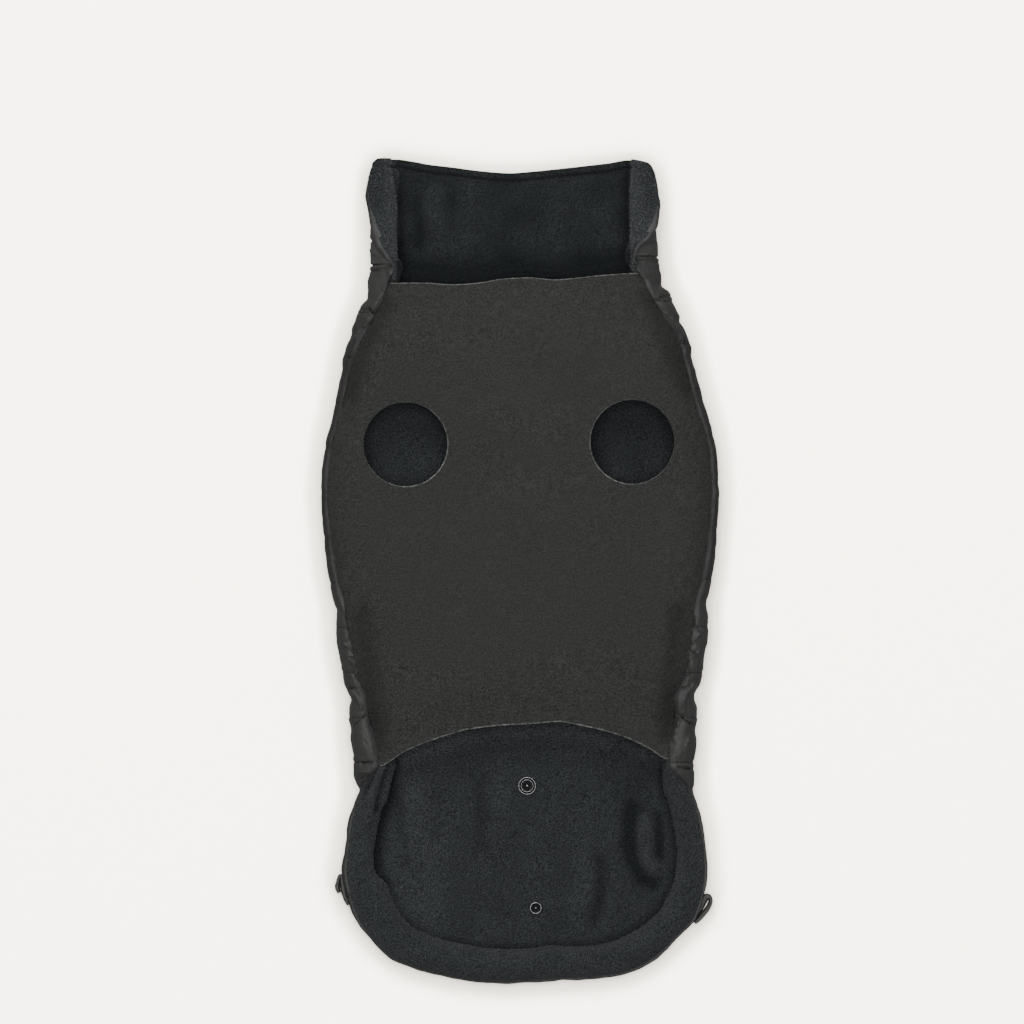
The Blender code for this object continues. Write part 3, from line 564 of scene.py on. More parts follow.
# A row stands for a place down the sides, counted in channels from the neck seam. Left and right are how far
# the widest line lies from the middle, and inset_left and inset_right how far inside it the belly's seam is.
# Across and side are the reach of the section's upper arc and the height of its widest line, crest is the
# section's highest point, foot the reach of its lower arc, and groove the depth of the quilting.
BODY_COLUMNS = (
    "channel", "left", "right", "inset_left", "inset_right", "across", "side", "crest", "foot", "groove",
)
BODY = (
    (0.00, 84.8, 79.2, 13.8, 13.2, 29.0, 12.0, 31.0, 12.0, 0.5),
    (0.35, 86.4, 80.6, 12.2, 8.9, 20.0, 12.0, 30.0, 12.0, 1.2),
    (0.70, 87.0, 86.4, 9.4, 10.8, 12.0, 12.0, 28.5, 12.0, 1.2),
    (1.00, 92.4, 90.0, 10.8, 9.8, 10.5, 12.0, 27.5, 12.0, 1.5),
    (1.50, 95.6, 94.4, 7.0, 4.2, 13.0, 12.5, 28.0, 13.0, 1.2),
    (2.00, 100.5, 97.3, 5.4, 3.4, 18.0, 12.5, 28.5, 14.0, 1.0),
    (3.00, 104.9, 104.4, 3.7, 4.0, 23.0, 12.5, 29.0, 15.0, 0.8),
    (4.00, 110.4, 110.7, 2.8, 2.6, 25.0, 13.0, 29.5, 16.0, 0.6),
    (5.00, 112.6, 112.5, 2.6, 2.7, 26.0, 13.0, 29.5, 16.0, 0.6),
    (6.00, 111.0, 111.1, 3.3, 3.1, 25.0, 13.0, 29.5, 16.0, 0.6),
    (7.00, 107.6, 108.2, 4.2, 4.5, 22.0, 12.5, 29.0, 15.0, 0.8),
    (7.50, 104.8, 105.7, 4.9, 5.6, 16.0, 12.5, 28.5, 14.5, 1.0),
    (8.00, 104.2, 106.5, 6.4, 7.8, 11.5, 12.5, 28.0, 14.0, 1.2),
    (9.00, 101.0, 103.6, 9.2, 9.5, 8.6, 12.5, 27.5, 13.0, 1.5),
    (9.25, 99.6, 101.8, 9.4, 10.4, 8.4, 12.5, 27.5, 13.0, 1.5),
    (9.55, 96.2, 98.6, 9.4, 11.4, 8.2, 12.0, 27.5, 12.5, 1.5),
    (10.00, 97.0, 100.6, 12.2, 13.6, 8.2, 12.0, 27.5, 12.0, 1.5),
    (10.35, 96.3, 99.9, 14.6, 14.4, 9.4, 12.0, 27.4, 12.0, 1.5),
    (10.65, 95.6, 99.3, 15.4, 15.0, 10.8, 12.0, 27.2, 12.0, 1.5),
    (11.00, 94.8, 98.7, 14.8, 15.2, 12.6, 12.0, 27.0, 12.0, 1.5),
    (11.60, 91.6, 98.0, 1.8, 2.2, 10.5, 10.0, 20.5, 12.0, 1.2),
    (12.00, 94.9, 100.8, 1.6, 0.8, 9.6, 8.5, 17.0, 11.0, 0.8),
    (13.00, 99.7, 105.4, 2.1, 0.6, 9.6, 8.0, 16.0, 11.0, 0.4),
    (13.40, 100.8, 105.7, 2.6, 0.5, 9.8, 8.0, 16.0, 11.0, 0.3),
)
# The width of the hem band on each side.
BAND_COLUMNS = ("channel", "left", "right")
BAND = (
    (11.00, 24.4, 17.6), (11.60, 16.8, 16.2), (12.00, 17.0, 15.6), (13.00, 16.8, 15.8), (13.40, 18.2, 16.8),
)
# The flap's end is drawn from its centre: how far it reaches and how wide its band is, by direction.
FLAP_CHANNEL, FLAP_CENTRE_X, FLAP_INSET, BAND_ACROSS = 13.4, 2.2, 0.5, 0.54
FLAP_COLUMNS = ("angle", "reach", "band")
FLAP = (
    (180.0, 103.0, 18.2), (187.0, 101.7, 24.2), (195.0, 99.7, 23.7), (207.0, 94.0, 22.4), (214.0, 90.6, 24.8),
    (221.0, 84.4, 23.6), (237.0, 73.4, 21.4), (259.0, 65.6, 19.2), (273.0, 63.8, 18.6), (287.0, 65.4, 20.0),
    (303.0, 73.4, 21.0), (316.0, 83.4, 22.0), (325.0, 89.4, 21.4), (337.0, 95.6, 19.0), (345.0, 101.2, 19.4),
    (360.0, 103.5, 16.8),
)
SECTION = ("x", "y", "inward_x", "inward_y", "inset", "across", "side", "crest", "foot", "groove", "band")
# The belly panel's free edges, as points (x, y).
BELLY_FRONT = (
    (-71.6, 163.2), (-54.0, 163.4), (-38.6, 162.4), (-23.4, 163.4), (-8.4, 165.8),
    (5.8, 166.4), (19.8, 165.2), (32.4, 166.2), (50.2, 168.0), (66.4, 168.8),
)
BELLY_REAR = (
    (-82.0, -111.4), (-63.4, -101.4), (-45.6, -94.6), (-27.8, -89.6), (-8.3, -87.4),
    (5.9, -86.7), (22.0, -85.5), (37.7, -88.2), (51.9, -91.6), (62.7, -95.4), (73.4, -100.6), (84.0, -106.6),
)
print(f"{len(BODY)} sections down the sides and {len(FLAP)} round the flap")


# %% Sections
def body_sections(channels, side):
    """The sections of one side (-1 is left) at places counted in channels, as columns of numbers."""
    channels = np.asarray(channels, float)
    hand = "left" if side < 0 else "right"
    row = read_table(BODY_COLUMNS, BODY, channels)
    flat = np.zeros_like(channels)
    band = read_table(BAND_COLUMNS, BAND, channels)[hand]
    values = (
        side * row[hand], NECK_SEAM - channels * PITCH, flat - side, flat, row["inset_" + hand],
        row["across"], row["side"], row["crest"], row["foot"], row["groove"], band,
    )
    return dict(zip(SECTION, values))


def flap_sections(angles):
    """The sections of the rump flap's end, in directions seen from its centre."""
    angles = np.asarray(angles, float)
    c, s = np.cos(np.radians(angles)), np.sin(np.radians(angles))
    left, right = (body_sections(np.full(len(angles), FLAP_CHANNEL), side) for side in (-1, 1))
    last = {name: np.where(c < 0, left[name], right[name]) for name in SECTION}
    row = read_table(FLAP_COLUMNS, FLAP, angles)
    end = smooth(abs(s) * 2)
    last.update(
        x=FLAP_CENTRE_X + row["reach"] * c, y=last["y"] + row["reach"] * s, inward_x=-c, inward_y=-s,
        inset=last["inset"] + (FLAP_INSET - last["inset"]) * end,
        across=last["across"] + (BAND_ACROSS * row["band"] - last["across"]) * end, band=row["band"],
    )
    return last


def down_to_flap(first, per_channel):
    """Places from one down to the flap, some to each channel."""
    return np.linspace(first, FLAP_CHANNEL, int((FLAP_CHANNEL - first) * per_channel))


def round_the_coat(left, right, flap_count):
    """Sections down the left side, round the flap and up the right side."""
    parts = (
        body_sections(left, -1),
        flap_sections(np.linspace(180, 360, flap_count)[1:-1]),
        body_sections(right[::-1], 1),
    )
    return {name: np.concatenate([part[name] for part in parts])[:, None] for name in SECTION}


def seam_angle(s, inset):
    """The angle on the section's upper arc where an edge lies, inset from the widest line."""
    return np.arccos(np.clip(1 - inset / s["across"], -1, 1))


def wall_surface(s, angle, depth):
    """The points of a layer of the side wall, from -90 degrees at its foot over 0 at its widest line."""
    low = angle < 0
    reach = np.where(low, s["foot"], s["across"]) - depth
    rise = np.where(low, s["side"], s["crest"] - s["side"]) - depth
    inward = depth + reach * (1 - np.cos(angle))
    height = np.where(low, depth + rise * (1 + np.sin(angle)), s["side"] + rise * np.sin(angle))
    return np.stack([s["x"] + s["inward_x"] * inward, s["y"] + s["inward_y"] * inward, height], -1)


def wall_angles(end, lower, upper):
    """The angles of a wall's points, from its foot to its end, as one row for each section."""
    up = np.tile(np.linspace(-np.pi / 2, 0, lower, endpoint=False), (len(end), 1))
    return np.concatenate([up, end * np.linspace(0, 1, upper)[None]], 1)


girth = body_sections([5.0], -1)["x"][0], body_sections([5.0], 1)["x"][0]
print(f"At the fifth channel the coat reaches from {girth[0]:.1f} to {girth[1]:.1f} mm")

# %% [markdown]
# ## The quilted shell
#
# Padding between two layers of nylon is stitched down in straight channels, an inch apart. Each channel
# swells between its stitches, so the outline is scalloped, and the cloth crumples where the stitches pull it
# in. It is modelled as one closed wall: its outer side carries the puffs and the creases, its inner side is
# plain. The back is flattened by the coat's weight, and only the lines of stitching stay clear of the table.

# %% Creases of the shell
# Each is (points, height, half width) seen from above; a negative height is a groove.
SHELL_CREASES = (
    # left side, front
    (((-86.0, 170.4), (-72.0, 170.9)), -1.3, 1.0),
    (((-73.5, 170.5), (-72.6, 166.0), (-76.0, 160.0), (-80.5, 152.5), (-84.5, 146.0)), 1.3, 2.6),
    (((-79.5, 159.8), (-76.8, 157.6)), -0.7, 0.9),
    (((-91.0, 148.6), (-85.7, 148.7), (-83.0, 146.0), (-81.6, 145.1)), -1.6, 1.1),
    (((-85.4, 149.6), (-82.0, 146.4)), 1.2, 1.1),
    (((-82.6, 143.4), (-86.1, 140.3), (-90.0, 138.2), (-91.4, 134.2), (-92.6, 131.6)), 1.2, 1.8),
    (((-87.5, 140.0), (-84.4, 139.5)), -1.0, 0.9),
    (((-97.5, 120.6), (-94.0, 121.2)), -1.2, 1.0),
    # right side, front
    (((67.0, 175.6), (79.0, 175.4)), -1.3, 1.0),
    (((65.4, 176.6), (66.0, 173.0), (67.4, 170.4), (70.0, 168.2), (73.4, 162.2), (76.0, 155.0)), 1.3, 2.6),
    (((69.5, 165.0), (72.5, 165.8)), -0.7, 0.9),
    (((79.6, 155.4), (85.2, 155.4)), -1.6, 1.1),
    (((77.0, 153.8), (80.2, 156.4)), 1.2, 1.1),
    (((76.6, 151.0), (81.4, 146.6), (85.0, 145.8), (86.6, 142.6), (89.4, 138.0), (92.6, 132.2)), 1.2, 1.8),
    (((90.6, 129.2), (93.4, 128.8)), -1.2, 1.0),
    # left side, rear
    (((-101.4, -15.6), (-99.0, -25.2), (-96.2, -36.3)), 0.8, 1.3),
    (((-96.2, -36.7), (-99.4, -41.1), (-96.2, -43.5), (-92.6, -47.8)), 1.1, 1.0),
    (((-99.0, -47.4), (-92.6, -48.0)), 0.9, 0.9),
    (((-97.5, -49.4), (-93.5, -49.6)), -1.1, 1.2),
    (((-97.5, -49.0), (-93.5, -53.8), (-93.8, -56.2), (-92.2, -60.2), (-87.9, -65.8)), 1.2, 1.0),
    (((-100.2, -57.6), (-94.5, -59.6)), 0.8, 1.0),
    (((-96.0, -66.6), (-87.6, -67.0)), -1.2, 1.1),
    (((-95.0, -67.4), (-91.4, -72.1), (-89.5, -77.8)), 1.3, 1.5),
    (((-86.2, -81.3), (-88.7, -82.9), (-90.6, -84.1), (-92.6, -86.4)), -0.8, 1.0),
    (((-88.0, -96.0), (-86.0, -99.2)), -0.8, 0.9),
    (((-90.4, -108.8), (-84.0, -108.9)), -1.5, 1.3),
    (((-91.0, -114.2), (-86.0, -114.0)), 1.0, 1.2),
    (((-89.8, -117.2), (-85.8, -116.8)), -1.5, 1.3),
    # right side, rear
    (((99.6, -26.0), (98.8, -30.7), (101.9, -35.5), (97.9, -40.3), (94.8, -44.3)), 1.1, 1.0),
    (((94.8, -44.3), (101.9, -43.5), (100.4, -46.6), (95.6, -49.9)), 1.0, 0.9),
    (((96.0, -45.6), (99.5, -46.2)), -1.1, 1.0),
    (((95.6, -49.9), (96.0, -57.8), (93.2, -60.2), (90.0, -64.2)), 1.2, 1.0),
    (((90.5, -66.4), (97.0, -65.6)), -1.2, 1.1),
    (((98.8, -64.2), (94.0, -69.0), (92.8, -73.7), (92.8, -80.1), (90.0, -84.9), (86.8, -94.5)), 1.3, 1.5),
    (((88.0, -80.1), (93.2, -83.7), (97.9, -86.9)), -0.9, 1.0),
    (((98.8, -90.5), (95.6, -94.5), (94.0, -99.2)), 0.8, 0.9),
    (((85.2, -96.8), (88.4, -99.0)), -0.8, 0.9),
    (((90.8, -111.2), (98.0, -112.4)), -1.5, 1.6),
)
# How far each side bulges out beyond its plain section, as (channel, left, right).
BULGES = (
    (0.00, 0.7, 0.5), (0.13, 0.2, 1.1), (0.27, 0.4, 0.5), (0.40, 0.0, -0.3), (0.53, -0.5, 2.0),
    (0.67, -0.5, 1.6), (0.80, 1.3, 0.6), (0.94, 1.2, 0.4), (1.07, 0.7, 0.4), (1.20, 0.4, -0.9),
    (1.34, 0.8, 0.3), (1.47, 0.0, 0.9), (1.60, 0.1, 1.8), (1.74, 0.5, 2.4), (1.87, 0.5, 1.4),
    (2.00, 1.0, 0.4), (2.14, -0.3, 0.5), (2.27, -1.2, 0.8), (2.41, -1.0, 0.4), (2.54, -0.4, 0.7),
    (2.67, -0.5, 1.2), (2.94, 0.4, 0.4), (3.34, -0.4, 0.7), (4.00, 0.4, 0.9), (4.95, 0.5, 1.0),
    (5.48, 0.2, 0.8), (6.00, 0.5, 1.1), (6.50, 0.3, 0.9), (6.95, 0.7, 1.2), (7.35, 0.9, 0.7),
    (7.48, 0.5, 0.4), (7.62, -0.8, 0.7), (7.75, -0.4, 1.2), (8.00, 1.0, 1.5), (8.30, 0.8, 1.0),
    (8.55, 0.1, -0.2), (8.82, 0.1, 0.7), (8.96, 1.1, 1.6), (9.22, 0.4, 1.1), (9.49, 0.6, 0.5),
    (9.62, -0.5, 0.7), (9.76, 0.5, 1.4), (9.90, 0.9, 1.5), (10.02, 1.4, 1.8), (10.16, 0.2, 0.7),
    (10.29, -0.4, 0.0), (10.56, -0.1, 1.1), (10.83, -0.2, 1.3), (10.96, 0.9, 1.7), (11.23, 1.1, 1.2),
    (11.36, 1.5, 1.2), (11.50, 0.9, 1.2), (11.63, -0.6, 0.6), (11.76, 0.0, 0.7), (12.03, 0.5, 1.6),
    (12.43, 0.9, 1.2), (12.70, 0.0, 0.7), (13.10, 0.3, 1.2), (13.40, 0.6, 1.3),
)
print(len(SHELL_CREASES), "creases")


# %% The stitch lines' places
# On the right side the front channels lie a little further forward than on the left.
SKEW_COLUMNS = ("channel", "skew")
SKEW_AT_NECK, HALF_ACROSS = 4.8, 90.0
SKEW = ((-1.0, 0.0), (0.0, SKEW_AT_NECK), (1.0, 6.8), (2.0, 8.2), (5.0, 5.0), (9.0, 0.0), (13.4, 0.0))
GROOVE_POWER = 0.55  # under 1, so a puff is broad and the groove beside it narrow


def rightward(x):
    """0 on the coat's left side, 1 on its right."""
    return smooth((x + HALF_ACROSS) / (2 * HALF_ACROSS))


def skew(x, y):
    """How much further forward the stitch lines lie at a place than on the left side."""
    return read_table(SKEW_COLUMNS, SKEW, (NECK_SEAM - y) / PITCH)["skew"] * rightward(x)


def quilt_phase(x, y):
    """Counts channels from the neck seam; whole numbers are stitch lines."""
    return (NECK_SEAM + skew(x, y) - y) / PITCH


def quilting(x, y, power=GROOVE_POWER):
    """How deep the quilting is, from 0 on top of a puff to 1 at a stitch line."""
    return 1 - abs(np.sin(np.pi * quilt_phase(x, y))) ** power


quarter_down = quilting(-80.0, NECK_SEAM - PITCH / 4)
print(f"A quarter of a channel from its stitches the quilting is still {quarter_down:.2f} of its depth")

# %% The body shell
GROOVE_DEPTH = 1.25  # times the solid model's grooves, because thread pulls the padding flat
FLOOR_GROOVE, FLOOR_POWER = 1.1, 0.35  # where the coat lies on the table, only narrow grooves stay open
QUILT_END = 0.8  # the quilting fades out from here to the seam
CREASE_LIFT = 1.35
SEAM_SINK = 1.3  # the nylon turns down into the seam of the belly panel
PER_CHANNEL, ROUND_FLAP = 28, 150  # sections of the wall to each channel, and round the flap
FOOT_POINTS, TOP_POINTS = 9, 24  # points of a section below its widest line, and from there to the seam
PAINTED_SIDE_SHADE = 0.42


def bulge(x, y):
    """How far the padding pushes the wall out at a place."""
    row = read_table(("channel", "left", "right"), BULGES, (NECK_SEAM - y) / PITCH)
    return row["left"] + (row["right"] - row["left"]) * rightward(x)


def shell_surface(s, angles, end):
    """The quilted and creased outer side of the wall, which never sinks below the table."""
    plain = wall_surface(s, angles, 0.0)
    x, y = plain[..., 0], plain[..., 1]
    grooves = s["groove"] * GROOVE_DEPTH * quilting(x, y)
    depth = grooves - bulge(x, y) * np.clip(np.cos(angles), 0, 1) ** 2
    below = smooth(-angles / (np.pi / 2))
    depth = depth * (1 - below) + FLOOR_GROOVE * quilting(x, y, FLOOR_POWER) * below
    near_seam = smooth((angles / end - QUILT_END) / (1 - QUILT_END))
    depth = depth * (1 - 0.8 * near_seam) + SEAM_SINK * near_seam * smooth(quilt_phase(x, y) / 0.6)
    # The creases fade in from just under the widest line, and are whole a quarter of the way to the seam.
    above = 0.4 * smooth(1 + angles / 0.5) + 0.6 * smooth((angles / end) * 4)
    creases = CREASE_LIFT * ridges(plain, SHELL_CREASES) * above
    crumple = waves(plain, (0.35, 7.0, 3), (0.16, 3.5, 4)) * smooth((angles + 1.4) / 0.6)
    surface = wall_surface(s, angles, depth - creases - crumple)
    surface[..., 2] = np.maximum(surface[..., 2], 0.0)
    return surface


def tray(name, outer, inner, floor_outer, floor_inner, across, up, *paints):
    """A closed body from rows of wall points, each from foot to edge, with a floor between the feet."""
    rows, columns = outer.shape[:2]
    count = rows * columns
    flat, triangles, loops = fill(outer[:, 0, :2], across, up)
    feet, middle = len(loops[0]), flat[len(loops[0]):]
    below = np.column_stack([middle, floor_outer(middle)])
    above = np.column_stack([middle, floor_inner(middle)])
    points = np.concatenate([outer.reshape(-1, 3), inner.reshape(-1, 3), below, above])
    faces = grid_faces(rows, columns, 0) + grid_faces(rows, columns, count, True)
    low, high = 2 * count, 2 * count + len(middle)
    for triangle in triangles:
        faces.append(tuple(k * columns if k < feet else low + k - feet for k in triangle))
        faces.append(tuple(k * columns + count if k < feet else high + k - feet for k in triangle[::-1]))
    last = (rows - 1) * columns
    edge = [*range(columns), *[i * columns + columns - 1 for i in range(1, rows)]]
    edge += [last + j for j in range(columns - 2, -1, -1)]
    faces += rim(edge, [k + count for k in edge])
    return make_object(name, points, faces, *paints)


def stitched_floor(spots):
    """The height of the shell's underside, which rises only over its stitches."""
    return FLOOR_GROOVE * quilting(spots[:, 0], spots[:, 1], FLOOR_POWER)


def level_floor(height):
    """A floor that has the same height everywhere."""
    return lambda spots: np.full(len(spots), height)


def shell_painted_shade(spots):
    """Painted shade on the nylon down the middle of the sides, fading out towards the neck and the rear."""
    y = spots[:, 1]
    return -PAINTED_SIDE_SHADE * smooth((y + 25) / 35) * smooth((152 - y) / 20)


NECK_SKEW = SKEW_AT_NECK / PITCH
left_places, right_places = down_to_flap(0.0, PER_CHANNEL), down_to_flap(-NECK_SKEW, PER_CHANNEL)
sections = round_the_coat(left_places, right_places, ROUND_FLAP)
shell_end = seam_angle(sections, sections["inset"])
angles = wall_angles(shell_end, FOOT_POINTS, TOP_POINTS)
shell_out = shell_surface(sections, angles, shell_end)
pinch = smooth((angles / shell_end - 0.7) / 0.3)  # the padding thins towards the seam
shell_in = wall_surface(sections, angles - 0.04 * pinch, WALL - 1.2 * pinch)
shell = tray(
    "shell_back_quilted", shell_out, shell_in, stitched_floor, level_floor(WALL), 5.0, PITCH / 10, nylon,
)
paint_light_and_shade(shell, shell_painted_shade)
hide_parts("shell_back")

# %% [markdown]
# ## The fleece lining
#
# The lining is a second tray inside the first. It shows on the rump flap and through the leg holes. Fleece
# doesn't crease sharply, so its folds are low, wide rolls, and between them it undulates over the padding.

# %% Folds of the fleece
# Each is (points, height, half width), in millimetres.
LINING_FOLDS = (
    (((71.6, -143.0), (71.0, -152.0), (72.4, -163.0), (75.5, -167.5)), 4.0, 7.5),
    (((63.4, -136.0), (62.0, -152.0), (64.2, -164.0), (70.5, -174.5), (76.0, -178.0)), -2.8, 7.0),
    (((78.4, -140.0), (79.4, -154.0), (78.4, -164.0)), -2.6, 6.0),
    (((62.0, -128.0), (64.0, -150.0), (60.0, -172.0)), -0.9, 16.0),
    (((54.0, -136.0), (53.0, -158.0), (58.0, -176.0)), 1.4, 9.0),
    (((45.0, -166.0), (46.5, -182.0), (43.0, -198.0)), -1.9, 7.5),
    (((38.0, -160.0), (36.0, -186.0)), 1.3, 10.0),
    (((54.0, -180.0), (50.0, -200.0)), 1.3, 9.0),
    (((-58.0, -122.0), (-60.0, -158.0)), 1.5, 12.0),
    (((-70.0, -126.0), (-66.0, -142.0), (-64.0, -164.0)), -1.5, 8.0),
    (((-47.0, -118.0), (-48.0, -150.0)), -0.8, 9.0),
    (((-10.0, -118.0), (-12.0, -150.0)), 1.2, 13.0),
    (((-22.0, -122.0), (-20.0, -158.0)), -1.3, 9.0),
    (((22.0, -120.0), (20.0, -148.0)), 0.8, 14.0),
)
SNAP_STUD, SNAP_SOCKET = (4.3, -122.2), (9.2, -191.7)
SNAP_DENT, SNAP_CLEAR, SNAP_BLEND = 0.5, 3.5, 6.0  # each snap pulls the fleece down round it
DEEPEST_FOLD = 1.1


def nearness(spots, line, width, power):
    """1 on a line of points, falling to 0 a width away."""
    return smooth(ridges(spots, ((line, 1.0, width),)) ** power)


def soft_folds(spots, folds):
    """Like ridges, with round tops."""
    total = np.zeros(spots.shape[:-1])
    for line, height, width in folds:
        total += height * nearness(spots, line, width, 1 / RIDGE_POWER)
    return total


def painted_fold_shade(folds):
    """Painted light and shade on folds: painted shade in a valley, stronger than the painted light on a
    crest.
    """
    return np.where(folds > 0, 0.14 * folds, 0.36 * folds)


def lining_floor(spots):
    """The height of the lining's upper side."""
    lift = soft_folds(spots, LINING_FOLDS) + waves(spots, (0.55, 24.0, 7), (0.22, 9.0, 8))
    for x, y in (SNAP_STUD, SNAP_SOCKET):
        away = np.hypot(spots[..., 0] - x, spots[..., 1] - y)
        near = 1 - smooth((away - SNAP_CLEAR) / SNAP_BLEND)
        lift = lift * (1 - near) - SNAP_DENT * near
    return LINING_IN + np.maximum(lift, -DEEPEST_FOLD)


# %% The lining
LINING_START = 0.38  # under the belly panel's front edge, where the collar's fleece ends
# It is smoother than the shell, so fewer sections and points carry it.
left_places, right_places = down_to_flap(LINING_START, 10), down_to_flap(LINING_START - NECK_SKEW, 10)
sections = round_the_coat(left_places, right_places, 90)
angles = wall_angles(seam_angle(sections, sections["inset"]), 7, 10)
lining = tray(
    "lining_back_fleece",
    wall_surface(sections, angles, LINING_OUT), wall_surface(sections, angles, LINING_IN),
    level_floor(LINING_OUT), lining_floor, FINE_ACROSS, FINE_UP, fleece,
)
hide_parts("lining_back")

# %% [markdown]
# ## The collar
#
# The collar is a straight strip of the same two cloths, open in front. Its ends are turned outward like
# lapels: the wall stands up, folds over, and the fleece faces up on the turned part. The nylon is rolled over
# the lapel's edge, so a shiny bead runs round it. Section by section, one line gives the wall's outer side,
# and each layer lies a depth along that line's normals.

# %% Collar tables
# A row stands for a place up the collar, in channels, negative beyond the neck seam. The wall's widest line
# is bend from the middle, the fold is how far inside it and how high it is folded, and turn is by how many
# degrees. Lapel is the length past the fold, bead how far the nylon swells round the edge, and cover how deep
# it goes.
COLLAR_COLUMNS = (
    "channel", "bend_left", "bend_right", "fold_left", "fold_right", "fold_height", "turn",
    "lapel_left", "lapel_right", "bead", "cover",
)
COLLAR = (
    (0.45, 86.6, 82.2, 12.0, 9.4, 20.0, 40.0, 0.5, 0.5, 0.8, -0.4),
    (0.20, 85.6, 79.9, 12.0, 10.4, 26.0, 45.0, 0.5, 0.5, 1.0, -0.4),
    (0.00, 84.8, 79.2, 12.2, 13.0, 26.0, 60.0, 0.5, 0.5, 1.2, 0.6),
    (-0.25, 85.2, 78.8, 9.8, 12.0, 24.6, 108.0, 1.0, 1.0, 2.2, 3.0),
    (-0.50, 84.6, 78.2, 8.5, 9.4, 22.6, 126.0, 4.0, 4.0, 3.0, 5.0),
    (-0.75, 85.4, 78.0, 8.9, 8.5, 21.6, 142.0, 4.7, 5.7, 3.0, 6.2),
    (-1.00, 85.8, 77.3, 9.2, 8.2, 21.0, 156.0, 5.6, 6.8, 2.6, 6.2),
    (-1.40, 84.6, 77.0, 7.9, 8.1, 20.6, 164.0, 7.4, 8.5, 1.1, 6.2),
    (-1.70, 83.8, 77.2, 5.6, 7.5, 20.0, 164.0, 6.2, 7.5, 0.7, 6.2),
    (-2.00, 83.2, 77.3, 3.5, 6.9, 19.0, 160.0, 3.2, 6.3, 0.6, 6.2),
    (-2.40, 82.2, 76.4, 2.6, 5.7, 18.0, 150.0, 1.7, 6.6, 0.5, 6.2),
)
COLLAR_FOOT, COLLAR_SIDE, COLLAR_GROOVE, FOLD_RADIUS = 12.0, 11.0, 1.4, 1.2
FOLD_START = math.radians(58)
LAPEL_DROOP = 0.08
TOP_MIDDLE, CORNER_ROUND, CORNER_WIDTH = 225.4, 14.0, 7.0
# The collar's top edge, as points (x, y).
TOP_EDGE = (
    (-90.0, 233.2), (-76.0, 233.9), (-70.0, 234.0), (-62.0, 233.0), (-51.0, 231.0), (-39.0, 229.6),
    (-22.0, 227.4), (-5.0, 226.2), (6.0, 227.0), (23.0, 228.7), (40.0, 230.6), (51.0, 231.9),
    (62.0, 233.6), (70.0, 232.0), (76.0, 230.4), (90.0, 229.0),
)
COLLAR_FOLDS = (
    (((-48.0, 212.0), (-46.0, 184.0)), 2.0, 11.0),
    (((-57.0, 210.0), (-56.0, 186.0)), -1.2, 8.0),
    (((-30.0, 216.0), (-34.0, 186.0)), 1.5, 13.0),
    (((-39.0, 210.0), (-40.0, 186.0)), -1.0, 7.0),
    (((24.0, 214.0), (20.0, 190.0)), 1.2, 16.0),
    (((52.0, 214.0), (50.0, 190.0)), 1.0, 12.0),
)
COLLAR_CREASES = (
    (((-86.0, 173.6), (-72.0, 173.2)), -1.3, 1.0),
    (((66.0, 178.3), (79.0, 178.0)), -1.3, 1.0),
    (((-85.5, 196.0), (-81.2, 192.0)), -1.2, 1.2),
    (((-85.3, 188.0), (-81.8, 184.6)), -0.9, 1.0),
    (((-84.0, 182.0), (-78.0, 177.0), (-75.0, 174.5)), 0.9, 2.0),
    (((77.9, 196.5), (74.5, 192.5)), -1.2, 1.2),
    (((77.6, 187.5), (73.4, 185.5)), -0.9, 1.0),
    (((76.8, 183.0), (71.5, 179.5), (68.0, 178.5)), 0.9, 2.0),
)
print(len(COLLAR), "sections up the collar")


# %% One section of the collar
def collar_line(row, hand):
    """The section's outer line from its foot to its edge, as (inward, height, normal inward, normal up)."""
    line = []

    def arc(angle, reach, rise):
        normal = np.array([-math.cos(angle) / reach, math.sin(angle) / rise])
        normal /= np.hypot(*normal)
        line.append((reach * (1 - math.cos(angle)), COLLAR_SIDE + rise * math.sin(angle), *normal))

    for share in np.linspace(-1, 0, 8, endpoint=False):
        arc(math.pi / 2 * share, COLLAR_FOOT, COLLAR_SIDE)
    reach = row["fold_" + hand] / (1 - math.cos(FOLD_START))
    rise = (row["fold_height"] - COLLAR_SIDE) / math.sin(FOLD_START)
    for share in np.linspace(0, 1, 14):
        arc(FOLD_START * share, reach, rise)
    x, z, normal_x, normal_z = line[-1]
    heading = math.atan2(-normal_x, normal_z)
    centre_x, centre_z = x + FOLD_RADIUS * normal_x, z + FOLD_RADIUS * normal_z
    for share in np.linspace(0, 1, 11)[1:]:
        now = heading + math.radians(row["turn"]) * share
        sine, cosine = math.sin(now), math.cos(now)
        line.append((centre_x + FOLD_RADIUS * sine, centre_z - FOLD_RADIUS * cosine, -sine, cosine))
    x, z, normal_x, normal_z = line[-1]
    for share in np.linspace(0, 1, 9)[1:]:
        long = row["lapel_" + hand] * share
        droop = LAPEL_DROOP * long * share
        line.append((x + long * normal_z, z - long * normal_x - droop, normal_x, normal_z))
    return np.array(line)


# %% Layers of the collar
ROLL_BACK, ROLL_STEPS = 0.8, 9  # how far behind the cloth's end its roll is centred
NYLON_OUT, FLEECE_ROLL, FLEECE_COVER = -0.25, 1.2, 4.4


def rolled_end(line, low, high, swell, scale):
    """Half an oval round the end of a section, from one depth over to another."""
    end, normal = line[-1, :2], line[-1, 2:]
    tangent = np.array([normal[1], -normal[0]])
    centre = end - ROLL_BACK * tangent - normal * (low + high) / 2
    turn = np.linspace(0, np.pi, ROLL_STEPS + 1)[1:, None]
    out = (swell + ROLL_BACK) * np.sin(turn) * tangent
    return centre + scale * (out + (high - low) / 2 * np.cos(turn) * normal)


def nylon_end(line, row, scale):
    """The nylon turned over the wall's end."""
    return rolled_end(line, NYLON_OUT, row["cover"], row["bead"], scale)


